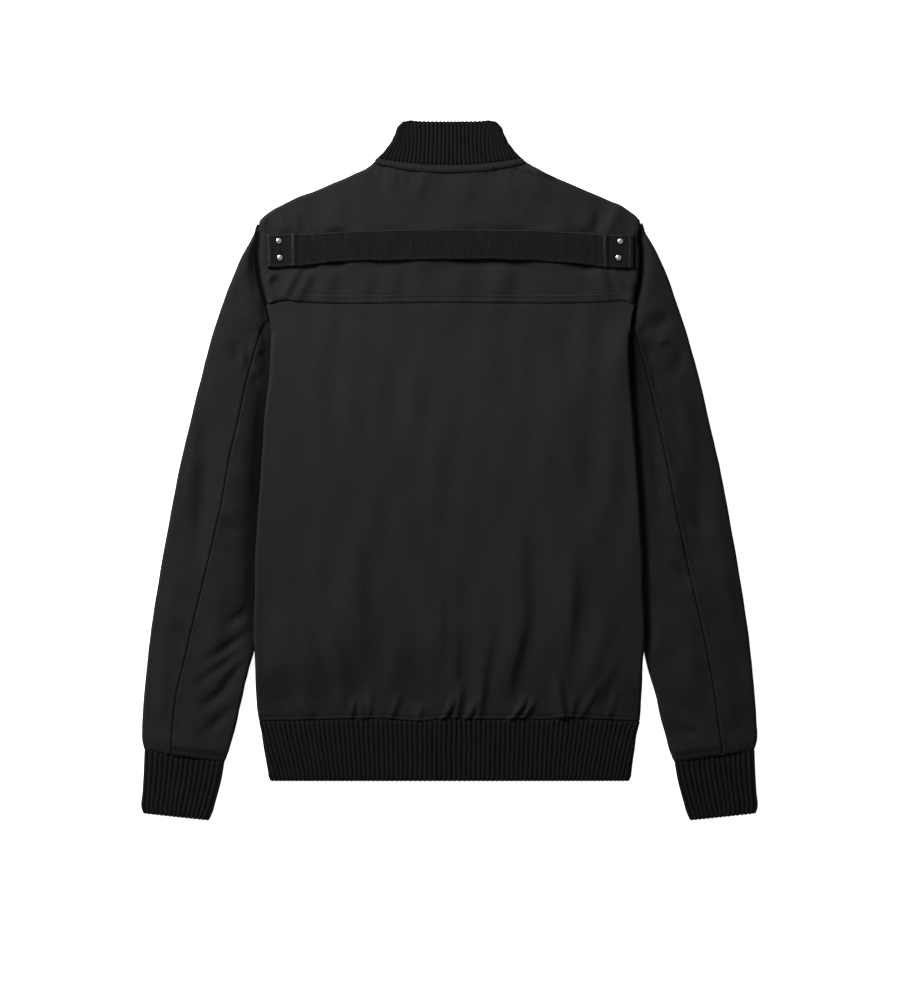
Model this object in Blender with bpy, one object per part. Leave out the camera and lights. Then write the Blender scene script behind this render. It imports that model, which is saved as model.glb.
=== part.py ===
"""A bomber jacket laid flat on its front, so that its back shows.

Frame: +X to the right of the back, +Y towards the collar, +Z up. The origin is in the middle of
the jacket's box, on the surface that it lies on. Sizes are in millimetres, and solid_from_walls
and the other mesh builders turn them into metres.

Each piece of cloth is a wall of a flattened tube. A point of a wall has a place in plan, an
outward direction in plan and a roll angle: 0 is the upper layer, a half turn is the lower layer,
and the angles between go round a folded edge.
"""

import math

import bmesh
import bpy
import numpy as np

MM = 0.001

# Cloth and layers
CLOTH = 2.5  # shell and lining together
ROOM = 3.8  # air between the two layers of a flattened tube
SEAM_GAP = 0.3
OUTER_RADIUS = CLOTH + ROOM / 2  # of a folded edge
INNER_RADIUS = ROOM / 2
LAYERS = 2 * OUTER_RADIUS
HALF_TURN = math.pi
SEAM_TURN = math.radians(85)  # how far each layer rolls round a fold before the seam
EDGE_PAD = 3.0  # width of the edge columns where a panel ends flat
EDGE_STEPS = 3
FOLD_STEPS = 4
ROLL_LENGTH = 12.0  # length along a side edge in which it turns from flat to rolled
SHOULDER_ROLL = 9.0  # the same along the back's shoulder, outwards from the neck
FRONT_ROLL = 5.0  # the same along a front's shoulder
SQUEEZE = 0.8  # share of a narrow panel's width that its fold may take
CORNER_BEND = 8  # how close to its end a curve bends to meet a corner
SHARP_ANGLE = math.radians(50)

# Numbers of columns and rows of the grids
BACK_COLUMNS = 19
SHOULDER_COLUMNS = 7
NECK_STEPS = 10
NECK_BAND_COLUMNS = 17
HEM_COLUMNS = 15
HEM_FRONT_COLUMNS = 7
COLLAR_COLUMNS = 13
COLLAR_FRONT_COLUMNS = 7
CUFF_COLUMNS = 7
SLEEVE_UPPER_STEPS = 4
SLEEVE_UNDER_STEPS = 3
STRAP_COLUMNS = 21
RIBBON_ROWS = 3
TAPE_ROWS = 7
ROW_CLEAR = 1.0  # least distance of a row from a seam across the body
TIP_CLEAR = 4.0  # least distance of a row from the shoulder tip

# Front opening
FRONT_EDGE_X = 6.5  # half the slot in which the zip shows
NECK_FRONT_Y = 280.0
NECK_BACK_Y = 342.0
NECK_SIDE_X = 83.0
SHOULDER_TIP_X = 213.6
TIP_TILT = 0.16
FRONT_NECK_SHARE = 0.05  # where a front's neckline starts, as a share of its quarter ellipse
FRONT_SHOULDER_START = 5.0  # where its shoulder starts, outwards from the neck

# Seams across the body
HEM_SEAM_Y = -280.85
YOKE_SEAM_Y = 189.3
UNDERARM_Y = 161.0

# Where the body lies over the sleeves
LIFT = LAYERS + 0.5
LIFT_REACH = 32.0  # width of the rise beside a sleeve
LIFT_LEAD = 9.0  # how far inside the sleeve's fold the rise ends
LIFT_TOP_Y = 188.0
LIFT_START = 60.0  # length of the rise below its top
LIFT_END = 60.0  # length of the fall above the hem
LIFT_START_CENTRE = 190.0  # the same lengths in the middle of the back
LIFT_END_CENTRE = 110.0
LIFT_SAG = 0.25  # share of the lift that the back loses in its middle

# Body's edge from the shoulder tip down: height, left edge, right edge
BODY_EDGE = (
    (276.0, 213.8, 214.4),
    (258.0, 215.8, 214.6),
    (240.0, 217.2, 214.5),
    (214.0, 213.5, 212.9),
    (201.0, 208.6, 210.3),
    (189.3, 204.8, 207.4),
    (175.0, 202.0, 204.2),
    (161.0, 199.9, 202.4),
    (148.0, 200.2, 201.3),
    (132.0, 200.6, 200.6),
    (101.0, 202.2, 202.2),
    (68.0, 206.3, 205.5),
    (34.0, 208.9, 208.3),
    (0.0, 211.1, 210.6),
    (-33.0, 213.4, 212.8),
    (-67.0, 215.3, 214.5),
    (-100.0, 217.5, 216.7),
    (-134.0, 217.8, 216.9),
    (-168.0, 219.2, 219.0),
    (-191.0, 219.2, 219.0),
    (-212.0, 217.8, 216.7),
    (-246.0, 216.7, 215.6),
    (-263.0, 215.6, 214.5),
    (-280.85, 213.6, 213.4),
)

# Shoulder outline from the neck out: distance from the centre, left height, right height
SHOULDER = (
    (83.0, 347.4, 347.8),
    (90.0, 341.0, 342.4),
    (110.0, 331.2, 333.0),
    (131.0, 321.8, 323.2),
    (152.0, 313.0, 314.0),
    (174.0, 304.9, 305.1),
    (190.0, 297.2, 297.3),
    (200.0, 291.2, 291.3),
    (208.0, 284.8, 285.2),
    (213.8, 277.8, 278.4),
)

# Collar's folded side edge: share of the collar's height, distance from the centre, height
COLLAR_SIDE = (
    (0.0, 82.0, 348.9),
    (0.22, 74.0, 357.2),
    (0.46, 66.0, 367.6),
    (0.68, 61.0, 378.0),
    (0.88, 57.6, 386.4),
    (1.0, 52.5, 390.6),
)
COLLAR_HEIGHT_BACK = 47.6
COLLAR_HEIGHT_FRONT = 47.0

# Hem rib: height, left edge, right edge
HEM_RIB = (
    (-281.0, 213.4, 213.2),
    (-293.0, 211.1, 210.4),
    (-310.0, 208.3, 207.8),
    (-326.0, 205.4, 205.3),
    (-340.0, 203.3, 204.0),
    (-344.6, 202.7, 203.2),
    (-346.6, 201.2, 201.6),
)

# Cuff: outer edge x and y, inner edge x and y
CUFF = (
    (342.1, -313.5, 251.8, -326.9),
    (342.8, -336.5, 255.8, -348.5),
    (344.2, -359.0, 261.3, -369.5),
    (345.1, -379.8, 267.0, -387.6),
    (344.0, -382.8, 268.6, -390.8),
)

# Top of a sleeve, down to the start of its back seam: outer edge x and y, height on the armhole
SLEEVE_CAP = {
    "left": (
        (217.4, 273.6, 272.0),
        (223.6, 259.6, 258.0),
        (231.8, 240.6, 240.0),
        (243.4, 213.2, 214.0),
        (249.0, 200.2, 201.0),
        (253.4, 187.8, 189.3),
    ),
    "right": (
        (217.8, 274.8, 272.0),
        (224.6, 259.8, 258.0),
        (232.8, 241.6, 240.0),
        (245.2, 213.2, 214.0),
        (249.9, 200.5, 201.0),
        (253.8, 188.7, 189.3),
    ),
}

# Sleeve sections: outer edge x and y, back seam x and y, inner edge x and y
SLEEVE = {
    "left": (
        (257.9, 175.2, 202.2, 175.0, 201.6, 160.6),
        (265.6, 151.6, 211.6, 153.9, 202.0, 139.3),
        (273.3, 123.6, 220.8, 124.8, 197.0, 116.9),
        (281.1, 93.4, 228.5, 94.5, 188.7, 86.7),
        (290.9, 52.0, 237.4, 53.1, 174.2, 45.2),
        (301.2, 9.4, 247.0, 11.6, 168.0, 2.7),
        (309.6, -33.2, 254.6, -33.2, 170.2, -42.1),
        (318.2, -79.1, 264.9, -79.1, 179.8, -88.0),
        (325.9, -122.8, 275.2, -122.8, 194.9, -131.7),
        (333.0, -167.6, 286.3, -167.6, 211.7, -176.5),
        (338.5, -212.4, 296.8, -212.4, 223.7, -220.2),
        (342.0, -248.2, 305.2, -248.2, 232.1, -253.8),
        (344.2, -279.6, 309.7, -281.8, 239.7, -287.4),
        (344.0, -304.2, 311.4, -307.6, 248.0, -315.4),
        (342.1, -313.2, 311.6, -317.8, 251.8, -326.6),
    ),
    "right": (
        (258.6, 175.2, 203.8, 170.6, 203.8, 158.0),
        (266.6, 151.6, 209.2, 150.0, 202.4, 137.3),
        (274.4, 123.6, 216.6, 124.8, 197.0, 116.9),
        (282.2, 93.4, 224.6, 94.5, 188.7, 86.7),
        (291.5, 52.0, 234.5, 52.0, 174.2, 45.2),
        (301.7, 9.4, 243.6, 9.4, 168.0, 2.7),
        (310.0, -33.2, 251.8, -33.2, 170.2, -42.1),
        (318.4, -79.1, 261.7, -79.1, 179.8, -88.0),
        (325.9, -122.8, 270.8, -122.8, 194.3, -131.7),
        (333.0, -167.6, 281.3, -167.6, 211.7, -176.5),
        (338.4, -212.4, 290.6, -212.4, 221.8, -220.2),
        (341.7, -248.2, 296.9, -248.2, 231.3, -253.8),
        (344.0, -279.6, 301.2, -281.8, 239.1, -287.4),
        (344.2, -304.2, 304.9, -307.6, 247.6, -315.4),
        (342.1, -313.2, 305.8, -317.8, 251.8, -326.6),
    ),
}

# Largest folds: start x and y, end x and y, half width, height (below zero for a trough)
FOLDS = {
    "back": (
        (158.0, -20.0, 108.0, -250.0, 24.0, 1.2),
        (60.0, -130.0, 34.0, -262.0, 20.0, 0.9),
        (-2.0, -90.0, -6.0, -200.0, 18.0, -0.8),
        (-150.0, -60.0, -170.0, -240.0, 26.0, 1.0),
        (-104.0, -205.0, -92.0, -276.0, 11.0, 1.1),
    ),
    "left": (
        (-272.0, 80.0, -284.0, -120.0, 14.0, -1.0),
        (-232.0, 70.0, -240.0, -40.0, 14.0, 0.9),
        (-258.0, -130.0, -266.0, -260.0, 15.0, 0.9),
    ),
    "right": (
        (244.0, 90.0, 256.0, -20.0, 14.0, 0.9),
        (280.0, 20.0, 290.0, -120.0, 14.0, -1.0),
        (262.0, -140.0, 272.0, -250.0, 15.0, 0.8),
    ),
}
FOLD_TAPER = 4  # a fold rises within one part in this many of its length, and falls so too

# Strap: x, upper edge, lower edge, height above its ends
STRAP = (
    (-204.6, 264.3, 227.9, 0.0),
    (-174.0, 264.9, 228.7, 0.0),
    (-155.0, 265.3, 230.8, 0.8),
    (-130.0, 266.8, 233.4, 1.6),
    (-106.0, 268.1, 234.9, 2.0),
    (-57.0, 269.7, 235.8, 2.4),
    (0.0, 270.0, 236.6, 2.6),
    (57.0, 269.9, 236.2, 2.4),
    (94.0, 269.4, 235.2, 2.2),
    (130.0, 267.6, 232.8, 1.6),
    (152.0, 266.4, 231.1, 0.8),
    (174.0, 264.5, 227.9, 0.0),
    (205.2, 263.2, 227.1, 0.0),
)
STRAP_THICK = 1.5
STRAP_END_THICK = 1.5
STRAP_END_LENGTH = 31.0
STRAP_END_INSET = 1.3  # of its lower edge from the strap's

# Neck band: distance from the centre, lower edge
NECK_BAND = ((0.0, 333.2), (43.0, 336.0), (70.0, 340.6), (86.0, 344.9))
NECK_BAND_THICK = 1.0

# Rivets: name, x, y
RIVETS = (
    ("rivet_left_upper", -191.0, 257.0),
    ("rivet_left_lower", -189.8, 238.1),
    ("rivet_right_upper", 191.2, 256.6),
    ("rivet_right_lower", 189.2, 238.1),
)
RIVET_RADIUS = 3.15
RIVET_DOME = 1.6
RIVET_SHANK = 1.2
RIVET_TAIL = 2.6
RIVET_TAIL_THICK = 1.0
RIVET_SIDES = 12
DOME_STEPS = 4
HOLE_SIDES = 8
HOLE_LOW = 3.5  # lower end of a hole's cutter, between the two layers of cloth

# Zip: cross-section of one tape, from its sewn edge to its toothed edge: x, underside
TAPE_SECTION = ((14.0, 2.8), (7.6, 2.8), (5.2, 3.7), (1.0, 3.7))
TAPE_THICK = 0.8
ZIP_BOTTOM_Y = -343.0
ZIP_TOP_Y = 278.6

# Zip slider and pull
SLIDER_Y = 266.5
SLIDER_HALF_LENGTH = 6.5
SLIDER_HALF_WIDTH = 4.6
SLIDER_RAIL = 0.7
SLIDER_OUTER = (2.3, 3.0, 3.4)  # underside, upper side, top of its rails
SLIDER_INNER = (4.8, 5.1, 5.9)  # bottom of its rails, underside, upper side
WEDGE_HALF_WIDTH = 0.6
WEDGE_START = 4.0  # distances of its ends from the slider's upper end
WEDGE_END = 0.4
OVERLAP = 0.1  # how far the united parts of the slider reach into each other
BRIDGE_HALF_WIDTH = 1.0
BRIDGE_HALF_LENGTH = 2.6
BRIDGE_FOOT = 1.1
BRIDGE_LOW = 0.3
BRIDGE_THICK = 0.65
PULL_AXIS_Z = 1.6
PULL_BAR_RADIUS = 0.35
PULL_HALF_THICK = 0.4
PULL_HALF_WIDTH = 3.0
PULL_WINDOW_HALF_WIDTH = 1.4
PULL_WINDOW_LENGTH = 4.4
PULL_ARM = 1.1
PULL_END_STEPS = 8
PULL_BAR_SIDES = 10
PULL_LENGTH = 26.0
PULL_DROOP = math.radians(2.3)  # its end lies on the surface below

# Finishes: colour, roughness, metallic
FINISHES = {
    "cloth": ((0.019, 0.018, 0.018), 0.85, 0.0),
    "rib_knit": ((0.008, 0.008, 0.008), 0.95, 0.0),
    "webbing": ((0.011, 0.011, 0.011), 0.8, 0.0),
    "rivet_metal": ((0.80, 0.79, 0.76), 0.25, 1.0),
    "zip_metal": ((0.06, 0.06, 0.065), 0.35, 1.0),
    "zip_tape": ((0.010, 0.010, 0.010), 0.85, 0.0),
}

SIDES = (("left", -1), ("right", 1))
PARENT_NAME = "jacket"


def hermite(knots, values, at):
    """Smooth curve through values at rising knots; each slope is taken from the neighbours."""
    knots = np.asarray(knots, float)
    values = np.asarray(values, float)
    at = np.clip(at, knots[0], knots[-1])
    slopes = np.gradient(values, knots, axis=0)
    index = np.clip(np.searchsorted(knots, at, side="right") - 1, 0, len(knots) - 2)
    span = knots[index + 1] - knots[index]
    share = (at - knots[index]) / span
    if values.ndim > 1:
        span = span[..., None]
        share = share[..., None]
    return (
        (2 * share**3 - 3 * share**2 + 1) * values[index]
        + (share**3 - 2 * share**2 + share) * span * slopes[index]
        + (3 * share**2 - 2 * share**3) * values[index + 1]
        + (share**3 - share**2) * span * slopes[index + 1]
    )


def smooth_step(value):
    """0 below 0, 1 above 1, and a smooth rise between."""
    value = np.clip(value, 0.0, 1.0)
    return value * value * (3 - 2 * value)


def column(table, number):
    """One column of a table, as an array."""
    return np.array([row[number] for row in table])


def columns(table, first, second):
    """Two columns of a table, as points in plan."""
    return np.stack([column(table, first), column(table, second)], axis=-1)


def body_edge(side, heights):
    """Distance of the body's edge from the centre line at each height."""
    rising = BODY_EDGE[::-1]
    return np.interp(heights, column(rising, 0), column(rising, 1 if side == "left" else 2))


def lift(x, y):
    """How far the lower layer of the body is raised where it lies over a sleeve."""
    raised = np.zeros(np.broadcast(x, y).shape)
    for side, sign in SIDES:
        rising = SLEEVE[side][::-1]
        fold_x = np.interp(y, column(rising, 5), column(rising, 4))
        over = smooth_step((sign * x - fold_x + LIFT_LEAD + LIFT_REACH) / LIFT_REACH)
        below_arm = smooth_step((LIFT_TOP_Y - y) / LIFT_START)
        above_hem = smooth_step((y - HEM_SEAM_Y) / LIFT_END)
        raised = raised + LIFT * over * below_arm * above_hem
    return raised


def span(x, y):
    """How far the back is raised: its sides as the fronts', its middle hung between them."""
    edge = np.where(x < 0, body_edge("left", y), body_edge("right", y))
    outward = np.clip(np.abs(x) / (edge - LIFT_LEAD), 0.0, 1.0) ** 2
    start = LIFT_START_CENTRE + (LIFT_START - LIFT_START_CENTRE) * outward
    end = LIFT_END_CENTRE + (LIFT_END - LIFT_END_CENTRE) * outward
    rise = smooth_step((LIFT_TOP_Y - y) / start) * smooth_step((y - HEM_SEAM_Y) / end)
    return LIFT * rise * (1 - LIFT_SAG * (1 - outward))


def fold_height(piece, x, y):
    """Height of a piece's largest folds: each is a soft ridge along a line, tapered at its ends."""
    height = np.zeros(np.broadcast(x, y).shape)
    for x1, y1, x2, y2, half_width, rise in FOLDS[piece]:
        length = math.hypot(x2 - x1, y2 - y1)
        along = ((x - x1) * (x2 - x1) + (y - y1) * (y2 - y1)) / length**2
        across = ((x - x1) * (y2 - y1) - (y - y1) * (x2 - x1)) / length
        taper = smooth_step(FOLD_TAPER * along) * smooth_step(FOLD_TAPER * (1 - along))
        height = height + rise * np.exp(-((across / half_width) ** 2)) * taper
    return height


def wall(plan, outward, roll, base, outer=OUTER_RADIUS, inner=INNER_RADIUS, squeeze=1.0):
    """Outer and inner surface of a flattened tube at the given plan points and roll angles.

    Each surface is the plan point moved by its radius: outwards by the sine of the roll angle and
    up by the cosine, above the tube's middle height. Squeeze narrows a fold in plan.
    """
    surfaces = []
    for radius in (outer, inner):
        reach = radius * np.sin(roll) * squeeze
        height = base + OUTER_RADIUS + radius * np.cos(roll)
        flat = plan + outward * reach[..., None]
        surfaces.append(np.concatenate([flat, height[..., None]], axis=-1))
    return surfaces


def edge_columns(turn):
    """Roll angles and flat offsets of the columns at a panel's edge, for an edge of this turn."""
    share = np.arange(1, EDGE_STEPS + 1) / EDGE_STEPS
    pad = EDGE_PAD * (1 - turn / SEAM_TURN)
    return share * turn[..., None], share * pad[..., None]


def edge_reach(turn):
    """How far in from its edge a panel starts to roll."""
    return OUTER_RADIUS * np.sin(turn) + EDGE_PAD * (1 - turn / SEAM_TURN)


def solid_from_walls(name, outer, inner, finish, closed=False):
    """Closed solid between two grids of points, joined round their edges, as a named object."""
    rows, wide = outer.shape[:2]
    count = rows * wide
    points = np.concatenate([outer.reshape(-1, 3), inner.reshape(-1, 3)]) * MM
    grid = np.arange(count).reshape(rows, wide)
    if closed:
        grid = np.concatenate([grid, grid[:, :1]], axis=1)
    faces = []
    for i in range(grid.shape[0] - 1):
        for j in range(grid.shape[1] - 1):
            corner = [grid[i, j], grid[i, j + 1], grid[i + 1, j + 1], grid[i + 1, j]]
            faces.append(corner)
            faces.append([index + count for index in reversed(corner)])
    rims = [grid[0], grid[-1]]
    if not closed:
        rims += [grid[:, 0], grid[:, -1]]
    for rim in rims:
        for a, b in zip(rim[:-1], rim[1:]):
            faces.append([a, b, b + count, a + count])
    return add_object(name, points, faces, finish)


def add_object(name, points, faces, finish, location=(0.0, 0.0, 0.0)):
    """Object of the given faces, with its normals facing out, its finish and its parent."""
    mesh = bpy.data.meshes.new(name)
    mesh.from_pydata([tuple(map(float, point)) for point in points], [], faces)
    shape = bmesh.new()
    shape.from_mesh(mesh)
    bmesh.ops.recalc_face_normals(shape, faces=shape.faces)
    shape.to_mesh(mesh)
    shape.free()
    mesh.shade_smooth()
    mesh.set_sharp_from_angle(angle=SHARP_ANGLE)
    mesh.materials.append(material(finish))
    made = bpy.data.objects.new(name, mesh)
    bpy.context.scene.collection.objects.link(made)
    made.location = location
    made.parent = bpy.data.objects[PARENT_NAME]
    return made


def material(name):
    """Principled material of one of the finishes."""
    made = bpy.data.materials.get(name)
    if made is None:
        colour, roughness, metallic = FINISHES[name]
        made = bpy.data.materials.new(name)
        made.use_nodes = True
        shader = made.node_tree.nodes["Principled BSDF"]
        shader.inputs["Base Color"].default_value = (*colour, 1.0)
        shader.inputs["Roughness"].default_value = roughness
        shader.inputs["Metallic"].default_value = metallic
    return made


def box(name, low, high, finish):
    """Plain box between two corners."""
    corners = [
        (x, y, z) for x in (low[0], high[0]) for y in (low[1], high[1]) for z in (low[2], high[2])
    ]
    faces = [
        (0, 1, 3, 2),
        (4, 6, 7, 5),
        (0, 4, 5, 1),
        (2, 3, 7, 6),
        (0, 2, 6, 4),
        (1, 5, 7, 3),
    ]
    return add_object(name, np.array(corners) * MM, faces, finish)


def combine(target, other, operation):
    """Joins a helper to the target, or cuts it away, and hides the helper."""
    change = target.modifiers.new(other.name, "BOOLEAN")
    change.operation = operation
    change.object = other
    other.hide_render = True
    other.hide_viewport = True
    other.display_type = "WIRE"


def coons(bottom, top, left, right):
    """Grid between four edge curves: the two ruled surfaces less the bilinear one."""
    rows = len(left)
    u = np.linspace(0, 1, len(bottom))[None, :, None]
    v = np.linspace(0, 1, rows)[:, None, None]
    ruled = (1 - v) * bottom[None] + v * top[None] + (1 - u) * left[:, None] + u * right[:, None]
    corners = (
        (1 - u) * (1 - v) * bottom[0]
        + u * (1 - v) * bottom[-1]
        + (1 - u) * v * top[0]
        + u * v * top[-1]
    )
    return ruled - corners


def sideways(sign, shape):
    """Outward direction of a left or right edge, for a grid of the given shape."""
    return np.broadcast_to(np.array([float(sign), 0.0]), (*shape, 2))


def back_panel():
    """Lower back: level sections, rolled over at the sides below the armhole."""
    heights = column(BODY_EDGE, 0)
    heights = heights[heights < YOKE_SEAM_Y - ROW_CLEAR]
    heights = np.concatenate([[YOKE_SEAM_Y - SEAM_GAP / 2], heights])
    heights[-1] = HEM_SEAM_Y + SEAM_GAP / 2
    turn = SEAM_TURN * smooth_step((UNDERARM_Y - heights) / ROLL_LENGTH)
    roll, pad = edge_columns(turn)
    ends = {}
    for side, sign in SIDES:
        ends[side] = sign * (body_edge(side, heights) - edge_reach(turn) - SEAM_GAP / 2)
    core = np.linspace(0, 1, BACK_COLUMNS)[None, :]
    core = ends["left"][:, None] * (1 - core) + ends["right"][:, None] * core
    x = np.concatenate(
        [(ends["left"][:, None] - pad)[:, ::-1], core, ends["right"][:, None] + pad], axis=1
    )
    angle = np.concatenate([roll[:, ::-1], np.zeros_like(core), roll], axis=1)
    plan = np.stack([x, np.broadcast_to(heights[:, None], x.shape)], axis=-1)
    outward = np.concatenate(
        [sideways(-1, roll.shape), sideways(0, core.shape), sideways(1, roll.shape)], axis=1
    )
    x, y = plan[..., 0], plan[..., 1]
    base = span(x, y) + fold_height("back", x, y)
    outer, inner = wall(plan, outward, angle, base)
    return solid_from_walls("back_panel", outer, inner, "cloth")


def shoulder_line(side, sign, distances):
    """Points of the shoulder outline at the given distances from the centre."""
    heights = hermite(column(SHOULDER, 0), column(SHOULDER, 1 if side == "left" else 2), distances)
    return np.stack([sign * distances, heights], axis=-1)


def plan_normals(points, towards):
    """Unit directions in plan, square to a line of points, on the side that towards points to."""
    along = np.gradient(points, axis=0)
    normal = np.stack([-along[:, 1], along[:, 0]], axis=-1)
    normal /= np.linalg.norm(normal, axis=1, keepdims=True)
    facing = np.sign(np.sum(normal * np.array(towards), axis=1, keepdims=True))
    return normal * facing


def neckline(distances):
    """Back neckline at the given signed distances from the centre, just below the collar."""
    fold_x = COLLAR_SIDE[0][1] - OUTER_RADIUS
    rise = COLLAR_SIDE[0][2] - NECK_BACK_Y
    heights = NECK_BACK_Y + rise * np.minimum(1.0, (distances / fold_x) ** 2)
    return np.stack([distances, heights - SEAM_GAP], axis=-1)


def tip_direction(sign):
    """Direction in which the shoulder's fold ends at the armhole: up, and a little inwards."""
    return np.array([-sign * TIP_TILT, 1.0])


def fit_corner(curve, corner, at_end=True):
    """Bends a curve near one end so that it meets the corner."""
    share = np.linspace(0, 1, len(curve))[:, None]
    if at_end:
        return curve + (corner - curve[-1]) * share**CORNER_BEND
    return curve + (corner - curve[0]) * (1 - share) ** CORNER_BEND


def armhole_heights(start_y, end_y):
    """Heights of the sections between the cross seam and the shoulder tip, at the table's rows."""
    heights = column(BODY_EDGE, 0)[::-1]
    inside = heights[(heights > start_y + ROW_CLEAR) & (heights < end_y - TIP_CLEAR)]
    return np.concatenate([[start_y], inside, [end_y]])


def back_yoke():
    """Upper back: a grid between the cross seam, the armholes, the shoulders and the neck."""
    left_far = np.linspace(SHOULDER_TIP_X, NECK_SIDE_X, SHOULDER_COLUMNS)
    right_far = left_far[::-1]
    across_neck = np.linspace(-NECK_SIDE_X, NECK_SIDE_X, NECK_STEPS + 1)[1:-1]
    top = np.concatenate(
        [
            shoulder_line("left", -1, left_far),
            neckline(across_neck),
            shoulder_line("right", 1, right_far),
        ]
    )
    normals = plan_normals(top, (0, 1))
    normals[0] = tip_direction(-1)
    normals[-1] = tip_direction(1)
    turn = SEAM_TURN * smooth_step((np.abs(top[:, 0]) - NECK_SIDE_X) / SHOULDER_ROLL)
    core_top = top - normals * edge_reach(turn)[:, None]
    start_y = YOKE_SEAM_Y + SEAM_GAP / 2
    heights = armhole_heights(start_y, core_top[0, 1])
    sides = {}
    for side, sign in SIDES:
        heights[-1] = core_top[0 if side == "left" else -1, 1]
        sides[side] = np.stack([sign * (body_edge(side, heights) - SEAM_GAP / 2), heights], -1)
    core_top = fit_corner(core_top, sides["left"][-1], at_end=False)
    core_top = fit_corner(core_top, sides["right"][-1])
    bottom_x = np.linspace(sides["left"][0, 0], sides["right"][0, 0], len(core_top))
    bottom = np.stack([bottom_x, np.full_like(bottom_x, start_y)], axis=-1)
    core = coons(bottom, core_top, sides["left"], sides["right"])
    roll, pad = edge_columns(turn)
    rim = core_top[None] + normals[None] * pad.T[..., None]
    plan = np.concatenate([core, rim])
    angle = np.concatenate([np.zeros(core.shape[:2]), roll.T])
    outward = np.broadcast_to(normals[None], plan.shape)
    outer, inner = wall(plan, outward, angle, np.zeros(angle.shape))
    made = solid_from_walls("back_yoke", outer, inner, "cloth")
    for name, x, y in RIVETS:
        combine(made, hole_cutter(name + "_yoke_hole", x, y), "DIFFERENCE")
    return made


def front_neckline(sign, share):
    """Front neckline from the side of the neck to the centre front: a quarter of an ellipse."""
    side_x, side_y = COLLAR_SIDE[0][1], COLLAR_SIDE[0][2]
    angle = share * HALF_TURN / 2
    x = FRONT_EDGE_X + (side_x - FRONT_EDGE_X) * np.cos(angle)
    y = NECK_FRONT_Y + (side_y - NECK_FRONT_Y) * (1 - np.sin(angle))
    return np.stack([sign * x, y], axis=-1)


def front(side, sign):
    """One front: a grid between the zip, the neckline, the shoulder, the side and the hem seam."""
    neck = front_neckline(sign, np.linspace(1, FRONT_NECK_SHARE, SHOULDER_COLUMNS))
    neck -= plan_normals(neck, (-sign * 0.2, 1)) * SEAM_GAP
    start = NECK_SIDE_X + FRONT_SHOULDER_START
    shoulder = shoulder_line(side, sign, np.linspace(start, SHOULDER_TIP_X, SHOULDER_COLUMNS))
    top = np.concatenate([neck, shoulder])
    normals = plan_normals(top, (0, 1))
    normals[-1] = tip_direction(sign)
    top_turn = SEAM_TURN * smooth_step((np.abs(top[:, 0]) - NECK_SIDE_X) / FRONT_ROLL)
    core_top = top - normals * edge_reach(top_turn)[:, None]

    heights = column(BODY_EDGE, 0)[::-1]
    heights = heights[heights < core_top[-1, 1] - TIP_CLEAR]
    heights = np.append(heights, core_top[-1, 1])
    heights[0] = HEM_SEAM_Y + SEAM_GAP / 2
    side_turn = SEAM_TURN * smooth_step((UNDERARM_Y - heights) / ROLL_LENGTH)
    far = body_edge(side, heights) - edge_reach(side_turn) - SEAM_GAP / 2
    outer_edge = np.stack([sign * far, heights], axis=-1)
    core_top = fit_corner(core_top, outer_edge[-1])

    zip_share = (heights - heights[0]) / (heights[-1] - heights[0])
    zip_heights = heights[0] + (core_top[0, 1] - heights[0]) * zip_share
    zip_edge = np.stack([np.full(len(heights), sign * FRONT_EDGE_X), zip_heights], axis=-1)
    zip_edge[-1] = core_top[0]
    bottom_x = np.linspace(zip_edge[0, 0], outer_edge[0, 0], len(core_top))
    bottom = np.stack([bottom_x, np.full_like(bottom_x, heights[0])], axis=-1)
    core = coons(bottom, core_top, zip_edge, outer_edge)

    side_roll, side_pad = edge_columns(side_turn)
    across = np.broadcast_to(np.array([float(sign), 0.0]), (len(heights), EDGE_STEPS, 2))
    side_plan = outer_edge[:, None] + across * side_pad[..., None]
    plan = np.concatenate([core, side_plan], axis=1)
    angle = np.concatenate([np.zeros(core.shape[:2]), side_roll], axis=1)
    outward = np.concatenate([np.zeros(core.shape), across], axis=1)

    end = plan[-1]
    top_turn = np.concatenate([top_turn, np.full(EDGE_STEPS, top_turn[-1])])
    normals = np.concatenate([normals, np.repeat(normals[-1:], EDGE_STEPS, axis=0)])
    top_roll, top_pad = edge_columns(top_turn)
    rim = end[None] + normals[None] * top_pad.T[..., None]
    plan = np.concatenate([plan, rim])
    angle = np.concatenate([angle, top_roll.T])
    outward = np.concatenate([outward, np.broadcast_to(normals[None], rim.shape)])

    base = lift(plan[..., 0], plan[..., 1])
    outer, inner = wall(plan, outward, HALF_TURN - angle, base)
    return solid_from_walls("front_" + side, outer, inner, "cloth")


def fold_rolls():
    """Roll angles round a whole fold, from the upper layer to the lower one."""
    return np.linspace(0, HALF_TURN, FOLD_STEPS + 1)


def sleeve_sections(side):
    """Outer edge, inner limit and fold normals of each section, from the shoulder to the cuff."""
    cap = SLEEVE_CAP[side]
    arm = SLEEVE[side]
    armhole_y = column(cap, 2)
    armhole_x = body_edge(side, armhole_y) + SEAM_GAP / 2
    outer = np.concatenate([columns(cap, 0, 1), columns(arm, 0, 1)])
    inner = np.concatenate([np.stack([armhole_x, armhole_y], -1), columns(arm, 2, 3)])
    return outer, inner


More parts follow.
